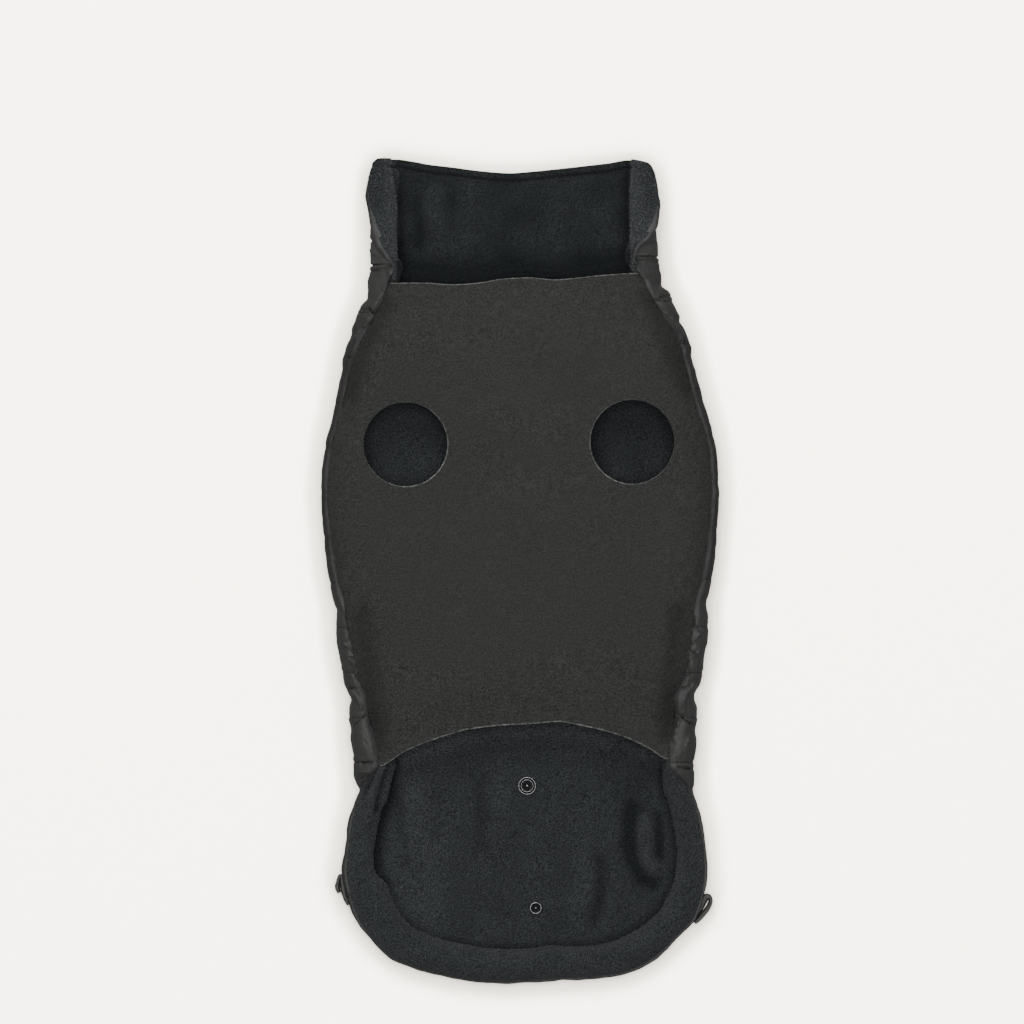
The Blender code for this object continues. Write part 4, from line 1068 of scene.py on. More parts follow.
def fleece_end(line, row, scale):
    """The fleece brought up to the nylon."""
    return rolled_end(line, LINING_IN, min(row["cover"], FLEECE_COVER), FLEECE_ROLL, scale)


def collar_row(channel, last, floor_count, depth, ending, scale):
    """Points across a layer of the collar, and their normals, which are 0 on the rolled ends."""
    row = {name: float(v) for name, v in read_table(COLLAR_COLUMNS, COLLAR, channel).items()}
    sides = []
    for side, hand in ((-1, "left"), (1, "right")):
        line = collar_line(row, hand)
        spots = np.concatenate([line[:, :2] - depth * line[:, 2:], ending(line, row, scale)])
        normals = np.concatenate([line[:, 2:], np.zeros((len(spots) - len(line), 2))])
        x = side * (row["bend_" + hand] - spots[:, 0])
        sides.append(np.column_stack([x, spots[:, 1], -side * normals[:, 0], normals[:, 1]]))
    left, right = sides
    share = np.linspace(0, 1, floor_count + 1)[1:-1, None]
    across = np.concatenate([left[::-1], left[0] * (1 - share) + right[0] * share, right])
    x, height = across[:, 0], across[:, 1]
    from_outside = np.where(x < 0, x - x.min(), x.max() - x) / CORNER_WIDTH
    corner = CORNER_ROUND * np.clip(1 - from_outside, 0, 1) ** 3
    slant = SKEW_AT_NECK * smooth(1 - 1.4 * channel / last) * rightward(x)
    beyond = along_points(TOP_EDGE, x) - (NECK_SEAM - last * PITCH) - corner
    y = NECK_SEAM - channel * PITCH + slant + beyond * smooth((channel / last - 0.55) / 0.45)
    return np.column_stack([x, y, height]), across[:, 2:]


def collar_layer(channels, floor_count, depth, ending, scale, relief=None):
    """A layer of the collar; its relief is how much deeper it lies at each point (x, y)."""
    rows = [collar_row(c, channels[-1], floor_count, depth, ending, scale) for c in channels]
    grid, normals = (np.array(part) for part in zip(*rows))
    if relief:
        grid[..., ::2] -= normals * relief(grid[..., :2])[..., None]
    return grid


def quilted_collar(spots):
    """The grooves, creases and crumples of the collar's nylon."""
    x, y = spots[..., 0], spots[..., 1]
    depth = COLLAR_GROOVE * quilting(x, y) * smooth(-4 * quilt_phase(x, y))
    crumple = waves(spots, (0.35, 7.0, 13), (0.15, 3.5, 14))
    return depth - CREASE_LIFT * ridges(spots, COLLAR_CREASES) - crumple


INNER_ROLL = 0.45  # the inner side of a rolled end, as a share of the outer one
collar_last = (NECK_SEAM - TOP_MIDDLE) / PITCH
collar_rows, collar_across = np.linspace(0.0, collar_last, 72), 30
collar_out = collar_layer(collar_rows, collar_across, 0.0, nylon_end, 1.0, quilted_collar)
collar_out[..., 2] = np.maximum(collar_out[..., 2], 0.0)
collar_in = collar_layer(collar_rows, collar_across, WALL, nylon_end, INNER_ROLL)
collar = cloth_wall("collar_shell_quilted", collar_out, collar_in, collar_nylon)
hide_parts("collar_shell")

# %% The collar's fleece
COLLAR_HEM = 4.6  # the row of stitching below the top edge
LAPEL_FOLDS = (-69.5, 62.6)  # where the fleece turns outward, left and right


def below_top(spots):
    """How far each point lies below the collar's top edge."""
    return along_points(TOP_EDGE, spots[..., 0]) - spots[..., 1]


def inside_lapels(x):
    """How far a place is from the nearer lapel's fold, negative on the lapel."""
    return np.where(x < 0, x - LAPEL_FOLDS[0], LAPEL_FOLDS[1] - x)


def soft_collar(spots):
    """Folds, and the sewn-down hem along the top edge."""
    from_top = below_top(spots)
    hem = 0.5 * smooth((COLLAR_HEM - from_top) / 1.5)
    stitched = 1.2 * np.clip(1 - abs(from_top - COLLAR_HEM) / 1.2, 0, 1)
    lift = soft_folds(spots, COLLAR_FOLDS) * (1 - smooth((abs(spots[..., 0]) - 58) / 10))
    return hem - stitched + lift + waves(spots, (0.4, 20.0, 11), (0.22, 7.0, 12))


def collar_painted_light(spots):
    """Painted shade all over, most behind the belly panel's edge, just inside the lapels' folds, along the
    hem, where the lapels bend down and in the folds' valleys; painted light on the lapels and the folds'
    crests.
    """
    x, y = spots[:, 0], spots[:, 1]
    inside = inside_lapels(x)
    behind_belly = 1 - smooth((y - along_points(BELLY_FRONT, x)) / 22.0)
    shade_inside_fold = smooth((inside + 0.5) / 1.0) * (1 - smooth(inside / 9.0))
    hem = np.clip(1 - abs(below_top(spots) - COLLAR_HEM) / 1.6, 0, 1) * (0.25 + 0.75 * (inside > 0))
    folds = painted_fold_shade(soft_folds(spots, COLLAR_FOLDS))
    # Painted shade where the lapels' upper outer part bends down.
    rolled = smooth((-inside - 4.5) / 4.0) * smooth((y - 196) / 12)  # the lapels' upper outer part bends down
    return (
        folds + 0.35 * ripple(spots, 15.0, 15) - 0.5
        - (0.75 * behind_belly + 0.3 * behind_belly**3) * (inside > 0)
        - 0.45 * shade_inside_fold - 0.7 * hem + 0.85 * (inside < 0) - 0.6 * rolled
    )


# The rows are close together up to where the lapels are widest, and further apart above.
fine_rows = np.concatenate([np.linspace(0.44, -1.7, 44), np.linspace(-1.72, collar_last, 18)])
fleece_across = 72
fleece_out = collar_layer(fine_rows, fleece_across, LINING_OUT, fleece_end, INNER_ROLL)
fleece_in = collar_layer(fine_rows, fleece_across, LINING_IN, fleece_end, 1.0, soft_collar)
collar_fleece = cloth_wall("collar_lining_fleece", fleece_out, fleece_in, fleece)
paint_light_and_shade(collar_fleece, collar_painted_light)
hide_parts("lining_collar")

# %% [markdown]
# ## The belly panel
#
# One layer of stretch knit joins the two sides and has a round hole for each foreleg. Its height is a plain
# function of the place, from seam to seam, so it can be filled with fine triangles round the real holes. Its
# free edges are cut and not hemmed: the lower side stands out a little further than the upper one, which
# shows the light core of the cloth.

# %% Belly tables
BELLY_LEFT, BELLY_RIGHT = (0.36, 11.03), (0.14, 10.95)
SEAM_TUCK, SEAM_DIP = -0.7, 2.3  # the belly's edge goes under the shell's, and dips there
BELLY_FRONT_HEIGHT, BELLY_MIDDLE_HEIGHT, BELLY_REAR_HEIGHT = 27.4, 29.0, 27.0
BELLY_SHOULDER, BELLY_FULLNESS = 22.0, 2.2  # it rises to its middle height within this distance of a seam
HEM_SAG, HEM_SAG_REACH = 2.6, 26.0
CORNER_CHANNEL, CORNER_LIFT = 10.4, 0.8  # from here its rear corners lie on the hem band
LEG_HOLE_RADIUS = 23.7
LEG_HOLES = ((-64.6, 71.8), (63.8, 73.2))


def seam_places(channels, side, clear):
    """Points of the belly's edge beside the shell's seam."""
    s = body_sections(channels, side)
    return wall_surface(s, seam_angle(s, s["inset"] + clear), 0.0)


seam_channels = np.linspace(-0.5, 12.0, 400)
left_seam = seam_places(seam_channels, -1, GAP)
right_seam = seam_places(seam_channels, 1, GAP)
print(f"The seams rise to {left_seam[:, 2].max():.1f} mm")


# %% The belly's surface
BELLY_DENTS = (
    (((-90.0, -25.0), (-85.0, -60.0), (-80.0, -100.0)), -2.2, 11.0),
    (((91.0, -25.0), (87.0, -60.0), (82.0, -90.0)), -2.2, 11.0),
    (((-76.0, 150.0), (-89.0, 126.0), (-97.0, 100.0)), -2.2, 9.5),
    (((72.0, 156.0), (86.0, 130.0), (96.0, 104.0)), -2.2, 10.0),
    (((76.0, -70.0), (76.0, -100.0)), 1.2, 9.0),
)


def belly_height(spots):
    """The height of the belly's upper side at each (x, y)."""
    x, y = spots[..., 0], spots[..., 1]
    channel = (NECK_SEAM - y) / PITCH
    left_x, left_z = (np.interp(channel, seam_channels, left_seam[:, k]) for k in (0, 2))
    right_x, right_z = (np.interp(channel, seam_channels, right_seam[:, k]) for k in (0, 2))
    to_seam = np.minimum(x - left_x, right_x - x)
    mix = (x - left_x) / (right_x - left_x)
    edge = left_z * (1 - smooth(mix)) + right_z * smooth(mix)
    front, rear = 1 - smooth((channel - 0.3) / 2.0), smooth((channel - 8.0) / 3.0)
    middle = BELLY_MIDDLE_HEIGHT + (BELLY_FRONT_HEIGHT - BELLY_MIDDLE_HEIGHT) * front
    middle = middle + (BELLY_REAR_HEIGHT - BELLY_MIDDLE_HEIGHT) * rear
    flatness = (1 - np.clip(to_seam / BELLY_SHOULDER, 0, 1)) ** BELLY_FULLNESS
    height = edge + (middle - edge) * (1 - flatness)
    across = np.clip(1 - (2 * mix - 1) ** 2, 0, None)
    to_front = np.clip(along_points(BELLY_FRONT, x) - y, 0, None) / HEM_SAG_REACH
    to_rear = np.clip(y - along_points(BELLY_REAR, x), 0, None) / HEM_SAG_REACH
    sag = smooth(1 - to_front) + smooth(1 - to_rear)
    soft = waves(spots, (0.45, 34.0, 21), (0.12, 10.0, 22)) + soft_folds(spots, BELLY_DENTS)
    height = height - HEM_SAG * across * sag + soft * smooth(to_seam / 8.0)
    corner = smooth((channel - CORNER_CHANNEL) / 0.5)
    dip = SEAM_DIP * (1 - smooth(to_seam / 4.5)) * (1 - corner)
    return height - dip + CORNER_LIFT * corner * (1 - smooth(to_seam / 14.0))


def circle(x, y, radius, count):
    """Points round a circle."""
    turn = np.arange(count) * 2 * np.pi / count
    return np.stack([x + radius * np.cos(turn), y + radius * np.sin(turn)], 1)


SEAM_POINTS, REAR_POINTS, FRONT_POINTS = 130, 90, 80


def belly_outline():
    """The belly's edge: down the left seam, along the rear, up the right seam and back along the front."""
    left = seam_places(np.linspace(*BELLY_LEFT, SEAM_POINTS), -1, SEAM_TUCK)[:, :2]
    right = seam_places(np.linspace(*BELLY_RIGHT, SEAM_POINTS), 1, SEAM_TUCK)[::-1, :2]
    rear_x = np.linspace(left[-1, 0], right[0, 0], REAR_POINTS)[1:-1]
    front_x = np.linspace(right[-1, 0], left[0, 0], FRONT_POINTS)[1:-1]
    rear = np.stack([rear_x, along_points(BELLY_REAR, rear_x)], 1)
    front = np.stack([front_x, along_points(BELLY_FRONT, front_x)], 1)
    return np.concatenate([left, rear, right, front])


print(f"The belly's middle is {belly_height(np.array([0.0, 40.0])):.1f} mm high")

# %% Cutting and filling the belly
EDGE_SHOW = 0.55  # the light edge's width seen from above
REAR_SHOW, LEAST_SHOW = 1.6, 0.25  # shares of it at the rear and on the far side of a leg hole
HOLE_POINTS = 96


def make_belly():
    """The panel with its holes; the free edges' upper side is drawn back, so that the cut edge shows."""
    holes = [circle(x, y, LEG_HOLE_RADIUS, HOLE_POINTS) for x, y in LEG_HOLES]
    flat, triangles, loops = fill(belly_outline(), FINE_ACROSS, FINE_UP, holes)
    upper = np.column_stack([flat, belly_height(flat)])
    lower = np.column_stack([flat, upper[:, 2] - BELLY])
    for (x, y), loop in zip(LEG_HOLES, loops[1:]):
        ray = flat[loop] - (x, y)
        facing = 0.5 + 0.5 * (ray[:, 0] * -np.sign(x) - 0.4 * ray[:, 1]) / LEG_HOLE_RADIUS
        upper[loop, :2] += ray / LEG_HOLE_RADIUS * (EDGE_SHOW * (LEAST_SHOW + facing))[:, None]
    outline = np.array(loops[0])
    x, y = flat[outline].T
    front, rear = y > along_points(BELLY_FRONT, x) - 0.5, y < along_points(BELLY_REAR, x) + 0.5
    upper[outline[front], 1] -= EDGE_SHOW
    upper[outline[rear], 1] += REAR_SHOW * EDGE_SHOW
    shift = len(upper)
    faces = triangles + [tuple(k + shift for k in t[::-1]) for t in triangles]
    paint = [0] * len(faces)
    for number, loop in enumerate(loops):
        faces += rim(loop, [k + shift for k in loop])
        free = front | rear if number == 0 else np.ones(len(loop), bool)
        paint += [int(free[k] and free[(k + 1) % len(loop)]) for k in range(len(loop))]
    points = np.concatenate([upper, lower])
    return make_object("belly_panel_knit", points, faces, knit, raw_edge, face_paint=paint)


def belly_painted_shade(spots):
    """Painted shade in the dents beside the seams, with a faint random mottle."""
    return 0.42 * np.minimum(soft_folds(spots, BELLY_DENTS), 0) + 0.12 * ripple(spots, 40.0, 23)


belly = make_belly()
paint_light_and_shade(belly, belly_painted_shade)
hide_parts("belly_panel")

# %% [markdown]
# ## The hem band
#
# Round the flap the edge is finished with a strip of the same fleece, turned to the inside. Turning it makes
# a soft roll: it leaves the shell's edge, goes over a crest and comes down on the lining. At the left it
# stands off the lining, and where it starts beside the belly panel it is gathered into a pleat.

# %% Band
BAND_LOW = LINING_IN + 0.9
BAND_START, BAND_CLEAR = 10.92, 0.1  # its ends, in channels, and its room beside the shell's edge
BAND_START_Y = NECK_SEAM - BAND_START * PITCH
BAND_SINK, SINK_REACH = 2.0, 7.0  # its ends are pressed down by the belly panel
BAND_LIFT = 3.6  # at the left its inner edge stands off the lining
BAND_FOLDS = (
    (((-78.0, -112.0), (-83.0, -126.0), (-86.0, -142.0)), 2.8, 3.4),
    (((-75.2, -111.0), (-78.6, -122.0), (-81.8, -136.0)), -2.8, 2.4),
    (((-72.0, -109.0), (-75.4, -121.0), (-78.0, -132.0)), 2.2, 2.4),
    (((-81.0, -113.0), (-88.0, -127.0)), -1.6, 2.2),
    (((84.0, -108.0), (87.6, -118.0), (92.5, -127.0)), 1.2, 3.0),
    (((-92.0, -160.0), (-94.0, -180.0)), 0.8, 9.0),
    (((60.0, -214.0), (76.0, -205.0)), 0.9, 10.0),
    (((-30.0, -222.0), (0.0, -224.0)), 0.6, 10.0),
)


def band_surface(s, share, depth):
    """A layer of the band, from the shell's edge (0) over its crest down to its inner edge (1)."""
    start = seam_angle(s, s["inset"]) + BAND_CLEAR / s["across"]
    angle = start + (np.pi - start) * share
    over = wall_surface(s, np.minimum(angle, np.pi / 2), depth)
    at_left = smooth((-s["x"] - 60) / 20) * smooth((s["y"] + 192) / 18) * smooth((-126 - s["y"]) / 14)
    low = BAND_LOW + BAND_LIFT * at_left
    inward = s["across"] - (s["band"] - s["across"] - depth) * np.cos(angle)
    height = low + (s["crest"] - low - depth) * np.sin(angle)
    down = np.stack([s["x"] + s["inward_x"] * inward, s["y"] + s["inward_y"] * inward, height], -1)
    layer = np.where((angle <= np.pi / 2)[..., None], over, down)
    under_belly = 1 - smooth((BAND_START_Y - s["y"]) / SINK_REACH)
    layer[..., 2] -= BAND_SINK * under_belly * smooth(share * 3) * (layer[..., 2] > 20)
    return layer


STRAIGHT_SECTIONS, CURVED_SECTIONS, BAND_POINTS = 36, 130, 22
straight = np.linspace(BAND_START, FLAP_CHANNEL, STRAIGHT_SECTIONS)
sections = round_the_coat(straight, straight, CURVED_SECTIONS)
shares = np.linspace(0, 1, BAND_POINTS)[None]
plain = band_surface(sections, shares, 0.0)
swell = soft_folds(plain[..., :2], BAND_FOLDS) + waves(plain, (0.4, 16.0, 31), (0.18, 6.0, 32))
# It swells neither at its two edges nor under the belly panel.
swell = swell * smooth(np.minimum(shares, 1 - shares) * 6) * smooth((-106.5 - plain[..., 1]) / 6)
band_out = band_surface(sections, shares, -swell)
band_in = band_surface(sections, shares, LINING)
band = cloth_wall("hem_band_fleece", band_out, band_in, fleece)
# Painted light and shade on the band: painted shade in its folds' valleys, painted light on their crests, a
# random mottle, and the whole band painted a little lighter.
paint_light_and_shade(band, lambda spots: painted_fold_shade(soft_folds(spots, BAND_FOLDS)) + 0.25 * ripple(spots, 15.0, 33) + 0.12)
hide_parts("hem_facing")

# %% The lining's painted light and shade, now that the band is there
band_edge = band_out[:, -1, :2][::4]
EDGE_POWER = 0.6


def lining_painted_light(spots):
    """Painted shade in the folds' valleys and along the band's edge, most where the band stands off; painted
    light on the folds' crests.

    On the flap it is painted lighter at the left and under the belly's hem, and a little darker at the right.
    Where it shows through the leg holes it is painted darker, most on the right.
    """
    x, y = spots[:, 0], spots[:, 1]
    under_hem = 1 - smooth((along_points(BELLY_REAR, x) - y) / 15.0)
    close = nearness(spots, band_edge, 4.5, EDGE_POWER)
    stands_off = smooth((-x - 60) / 15) * smooth((y + 185) / 20) * smooth((-100 - y) / 15)
    crevice = nearness(spots, band_edge, 8.0, EDGE_POWER) * stands_off
    under_belly = smooth((y - 20) / 30) * (0.03 + 0.21 * smooth(x / 40))
    flap = 0.3 * smooth((-x - 30) / 20) - 0.12 * smooth((x - 40) / 20) + 0.75 * under_hem
    return (
        painted_fold_shade(soft_folds(spots, LINING_FOLDS)) + 0.25 * ripple(spots, 15.0, 9) - under_belly
        - 0.75 * close - 1.6 * crevice + flap * (y < 0)
    )


paint_light_and_shade(lining, lining_painted_light)
print(f"The band's inner edge is {np.hypot(*np.diff(band_out[:, -1, :2], axis=0).T).sum():.0f} mm long")

# %% [markdown]
# ## Snaps and tabs
#
# A snap's cap is pressed from sheet metal, so it is turned from a profile with round corners. The tabs are
# short pieces of woven webbing, folded double on edge; their frayed cut ends are not modelled.


# %% Snaps
SNAP_BASE = LINING_IN + GAP - 0.1
SNAP_SIDES = 48
# A profile's points are (radius, height), from the middle of the underside round to the middle of the top.
STUD_GLOSS_ABOVE, SOCKET_GLOSS_ABOVE = 1.05, 1.1
STUD_PROFILE = (
    # underside and outer wall
    (0, 0), (4.6, 0), (4.92, 0.3), (5.0, 0.9),
    # outer ring
    (4.98, 1.2), (4.92, 1.34), (4.82, 1.39), (4.72, 1.4), (4.62, 1.37), (4.56, 1.22), (4.45, 0.3),
    # inner ring
    (3.72, 0.25), (3.62, 0.95), (3.56, 1.08), (3.46, 1.13), (3.36, 1.14), (3.27, 1.1), (3.22, 0.95),
    (3.1, 0.3),
    # post
    (2.4, 0.2), (1.5, 0.2), (1.2, 0.8), (0.95, 1.3), (0.75, 1.56), (0.4, 1.7), (0, 1.74),
)
SOCKET_PROFILE = (
    # underside and outer wall
    (0, 0), (3.3, 0), (3.55, 0.25), (3.55, 0.8),
    # ring
    (3.4, 1.2), (3.26, 1.33), (3.13, 1.39), (3.02, 1.41), (2.91, 1.38), (2.76, 1.24), (2.5, 0.5),
    # hollow and knob
    (2.0, 0.2), (1.2, 0.1), (1.0, 0.6), (0.8, 0.9), (0.45, 1.08), (0, 1.2),
)


def turned(name, place, profile, gloss_above):
    """A turned piece whose rims, above a height, are glossy, and whose recesses are dull."""
    rings = [circle(*place, radius, SNAP_SIDES) for radius, _ in profile[1:-1]]
    points = [(*place, SNAP_BASE + profile[0][1])]
    for spots, (_, height) in zip(rings, profile[1:-1]):
        points += [(x, y, SNAP_BASE + height) for x, y in spots]
    points.append((*place, SNAP_BASE + profile[-1][1]))
    end = 1 + (len(rings) - 1) * SNAP_SIDES
    faces = []
    for k in range(SNAP_SIDES):
        after = (k + 1) % SNAP_SIDES
        faces.append((0, 1 + k, 1 + after))
        for a in range(1, end, SNAP_SIDES):
            b = a + SNAP_SIDES
            faces.append((a + k, b + k, b + after, a + after))
        faces.append((end + k, len(points) - 1, end + after))
    dull = [int(max(points[k][2] for k in face) - SNAP_BASE < gloss_above) for face in faces]
    return make_object(name, points, faces, snap_gloss, snap_dull, face_paint=dull, sharp=35)


stud = turned("snap_stud_turned", SNAP_STUD, STUD_PROFILE, STUD_GLOSS_ABOVE)
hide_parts("snap_stud")
socket = turned("snap_socket_turned", SNAP_SOCKET, SOCKET_PROFILE, SOCKET_GLOSS_ABOVE)
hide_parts("snap_socket")

# %% Webbing tabs
TAB_BASE, TAB_WIDTH, TAB_LEVELS = 1.6, 7.0, 13
EDGE_THINNER, EDGE_FROM, EDGE_OVER = 0.45, 0.72, 0.28  # the webbing thins towards its two edges
SLOT_DEPTH, SLOT_CLOSES, PACKED = 1.8, 1.2, 0.45  # the fold shows as a slot; below it the halves touch
# The middle of each tab's strip, as (x, y, half its thickness), from its end beside the coat round the fold.
TABS = {
    "tab_left": (
        (-97.5, -190.0, 0.45), (-98.3, -188.0, 0.74), (-99.1, -185.7, 0.97), (-99.9, -182.9, 1.14),
        (-100.4, -180.1, 1.2), (-100.8, -177.2, 1.2), (-100.9, -174.9, 1.14), (-101.5, -173.4, 0.97),
        (-102.5, -173.6, 0.9), (-103.0, -175.2, 0.97), (-103.5, -177.2, 1.02), (-103.9, -179.2, 1.2),
        (-103.6, -181.2, 1.08), (-102.7, -183.2, 0.7),
    ),
    "tab_right": (
        (98.0, -199.1, 0.57), (99.9, -196.3, 0.9), (101.6, -193.7, 1.2), (102.9, -191.4, 1.45),
        (103.9, -189.1, 1.65), (105.0, -186.9, 1.75), (106.2, -185.3, 1.65), (107.7, -185.2, 1.35),
        (108.8, -186.4, 0.95), (108.9, -188.1, 0.95), (108.1, -190.3, 1.05), (106.8, -192.6, 1.15),
        (104.9, -194.9, 1.2), (102.6, -197.5, 1.2), (100.3, -199.7, 1.0), (99.6, -200.3, 0.7),
    ),
}


def folded_strip(rows, count=64):
    """Points along a strip's middle, the way to the inside of its fold, and half its thickness."""
    rows = np.array(rows)
    at = np.concatenate([[0], np.cumsum(np.hypot(*np.diff(rows[:, :2], axis=0).T))])
    table = [(a, *row) for a, row in zip(at, rows)]
    found = read_table(("at", "x", "y", "half"), table, np.linspace(0, at[-1], count))
    middle = np.stack([found["x"], found["y"]], 1)
    run = np.gradient(middle, axis=0)
    run /= np.hypot(*run.T)[:, None]
    turn = np.sign(np.sum(run[:-1, 0] * run[1:, 1] - run[:-1, 1] * run[1:, 0]))
    return middle, turn * np.stack([-run[:, 1], run[:, 0]], 1), found["half"][:, None]


for name, rows in TABS.items():
    middle, inside, half = folded_strip(rows)
    grids = [[], []]
    for level in np.linspace(0, 1, TAB_LEVELS):
        rounding = 1 - EDGE_THINNER * smooth((abs(2 * level - 1) - EDGE_FROM) / EDGE_OVER)
        packed = PACKED * smooth(((1 - level) * TAB_WIDTH - SLOT_DEPTH) / SLOT_CLOSES)
        for grid, way, more in ((grids[0], -1, 0.0), (grids[1], 1, packed)):
            spots = middle + way * inside * (half * rounding + more)
            grid.append(np.column_stack([spots, np.full(len(spots), TAB_BASE + TAB_WIDTH * level)]))
    tab = cloth_wall(name + "_webbing", np.array(grids[0]), np.array(grids[1]), webbing)
    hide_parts(name)

# %% [markdown]
# ## Stitches
#
# A line of machine stitching is one small oval of thread after another, all alike and evenly spaced, so a
# Geometry Nodes tree sews it: it walks each line in equal steps, lays a stitch on every step along the line's
# direction, and makes them real. The lines themselves are read off the shell, where its sections cross the
# places of the quilting, so every stitch sits at the bottom of its groove.


# %% A tree of nodes with named inputs
class Tree:
    """A Geometry Nodes tree; each input is (name, kind of socket)."""

    def __init__(self, name, *inputs):
        self.group = bpy.data.node_groups.new(name, "GeometryNodeTree")
        sockets = self.group.interface
        sockets.new_socket("Geometry", in_out="INPUT", socket_type="NodeSocketGeometry")
        self.inputs = {}
        for label, kind in inputs:
            self.inputs[label] = sockets.new_socket(label, in_out="INPUT", socket_type=kind).identifier
        sockets.new_socket("Geometry", in_out="OUTPUT", socket_type="NodeSocketGeometry")
        self.given = self.group.nodes.new("NodeGroupInput").outputs

    def add(self, kind, output=0, settings=(), **sockets):
        """Adds a node with its settings and its sockets' values or links; gives an output socket."""
        made = self.group.nodes.new(kind)
        for name, value in dict(settings).items():
            setattr(made, name, value)
        for name, value in sockets.items():
            socket = made.inputs[int(name[1:])] if name[0] == "_" else made.inputs[name.replace("_", " ")]
            if isinstance(value, bpy.types.NodeSocket):
                self.group.links.new(value, socket)
            else:
                socket.default_value = value
        return made.outputs[output]

    def finish(self, instances):
        """Turns the instances into plain faces with the given material."""
        real = self.add("GeometryNodeRealizeInstances", Geometry=instances)
        smooth_shape = self.add("GeometryNodeSetShadeSmooth", Geometry=real)
        painted = self.add("GeometryNodeSetMaterial", Geometry=smooth_shape, Material=self.given["Material"])
        self.group.links.new(painted, self.group.nodes.new("NodeGroupOutput").inputs["Geometry"])

    def run(self, name, points, edges, faces, slot, **values):
        """Feeds a mesh, in millimetres, through the tree and keeps the result as a plain piece."""
        source = bpy.data.meshes.new(name + "_path")
        source.from_pydata((np.asarray(points) * MM).tolist(), edges, faces)
        carrier = bpy.data.objects.new(name + "_path", source)
        bpy.context.collection.objects.link(carrier)
        modifier = carrier.modifiers.new("nodes", "NODES")
        modifier.node_group = self.group
        for label, value in values.items():
            modifier[self.inputs[label.replace("_", " ")]] = value
        depsgraph = bpy.context.evaluated_depsgraph_get()
        mesh = bpy.data.meshes.new_from_object(carrier.evaluated_get(depsgraph))
        bpy.data.objects.remove(carrier)
        made = place_piece(name, mesh)
        return made


sewing = Tree(
    "sewing", ("Step", "NodeSocketFloat"), ("Stitch length", "NodeSocketFloat"),
    ("Thread radius", "NodeSocketFloat"), ("Material", "NodeSocketMaterial"),
)
given = sewing.given
line = sewing.add("GeometryNodeMeshToCurve", Mesh=given["Geometry"])
steps = sewing.add("GeometryNodeResampleCurve", settings={"mode": "LENGTH"}, Curve=line, Length=given["Step"])
oval = sewing.add("GeometryNodeMeshUVSphere", Segments=6, Rings=4, Radius=given["Thread radius"])
times, over = {"operation": "MULTIPLY"}, {"operation": "DIVIDE"}
thickness = sewing.add("ShaderNodeMath", settings=times, _0=given["Thread radius"], _1=2.0)
stretch = sewing.add("ShaderNodeMath", settings=over, _0=given["Stitch length"], _1=thickness)
tangent = sewing.add("GeometryNodeInputTangent")
along_line = sewing.add("FunctionNodeAlignRotationToVector", settings={"axis": "Z"}, Vector=tangent)
sewing.finish(sewing.add(
    "GeometryNodeInstanceOnPoints", Points=steps, Instance=oval, Rotation=along_line,
    Scale=sewing.add("ShaderNodeCombineXYZ", X=1.0, Y=1.0, Z=stretch),
))
print("The sewing tree has", len(sewing.group.nodes), "nodes")


# %% Lines of quilting
THREAD_RISE = 0.12  # a stitch's middle lies this far off the cloth
QUILT_STITCH = {"Step": 3.2 * MM, "Stitch_length": 2.7 * MM, "Thread_radius": 0.21 * MM}


def meet(grid, phase, level):
    """Where each column of a grid first reaches a level of phase, going down its rows."""
    spots = []
    for column in range(grid.shape[1]):
        k = int(np.argmax(phase[:, column] >= level))
        if k > 0:
            low, high = phase[k - 1, column], phase[k, column]
            t = (level - low) / (high - low)
            spots.append(grid[k - 1, column] * (1 - t) + grid[k, column] * t)
    return spots


quilt_lines = []
shell_phase = quilt_phase(shell_out[..., 0], shell_out[..., 1])
for level in np.arange(1, 16):
    left = meet(shell_out, shell_phase, level)
    right = meet(shell_out[::-1], shell_phase[::-1], level)
    if len(left) > 1 and len(right) > 1:
        x = np.linspace(left[0][0], right[0][0], 40)[1:-1]
        y = np.full(len(x), NECK_SEAM - level * PITCH)
        for _ in range(6):  # a line's slant depends on how far back it is, so y settles in a few rounds
            y = NECK_SEAM - level * PITCH + skew(x, y)
        below = np.column_stack([x, y, np.full(len(x), FLOOR_GROOVE - THREAD_RISE)])
        quilt_lines.append(np.concatenate([left[::-1], below, right]))
collar_phase = -quilt_phase(collar_out[..., 0], collar_out[..., 1])
for level in (1, 2):
    quilt_lines.append(np.array(meet(collar_out, collar_phase, level)))


def sew(name, lines, **values):
    """Sews along lines of points, each line for itself."""
    points, edges = np.concatenate(lines), []
    start = 0
    for line in lines:
        edges += [(start + k, start + k + 1) for k in range(len(line) - 1)]
        start += len(line)
    return sewing.run(name, points, edges, [], "black_nylon", Material=thread.material, **values)


sew("quilting_stitches", quilt_lines, **QUILT_STITCH)

# %% Stitches that show beside the belly, and the collar's hem
PLEAT_STITCH = {"Step": 2.0 * MM, "Stitch_length": 1.5 * MM, "Thread_radius": 0.3 * MM}
PLEAT_LINES = (
    ((-93.2, -86.6), (-90.8, -84.3), (-88.7, -82.9), (-86.2, -81.3)),
    ((88.2, -80.2), (91.7, -82.8), (94.4, -84.6), (96.9, -86.3)),
)
HEM_STITCH = {"Step": 2.8 * MM, "Stitch_length": 2.2 * MM, "Thread_radius": 0.26 * MM}
HEM_HALF, HEM_RISE = 78, 0.1  # the hem is sewn this far to each side
BETWEEN_POINTS = 20


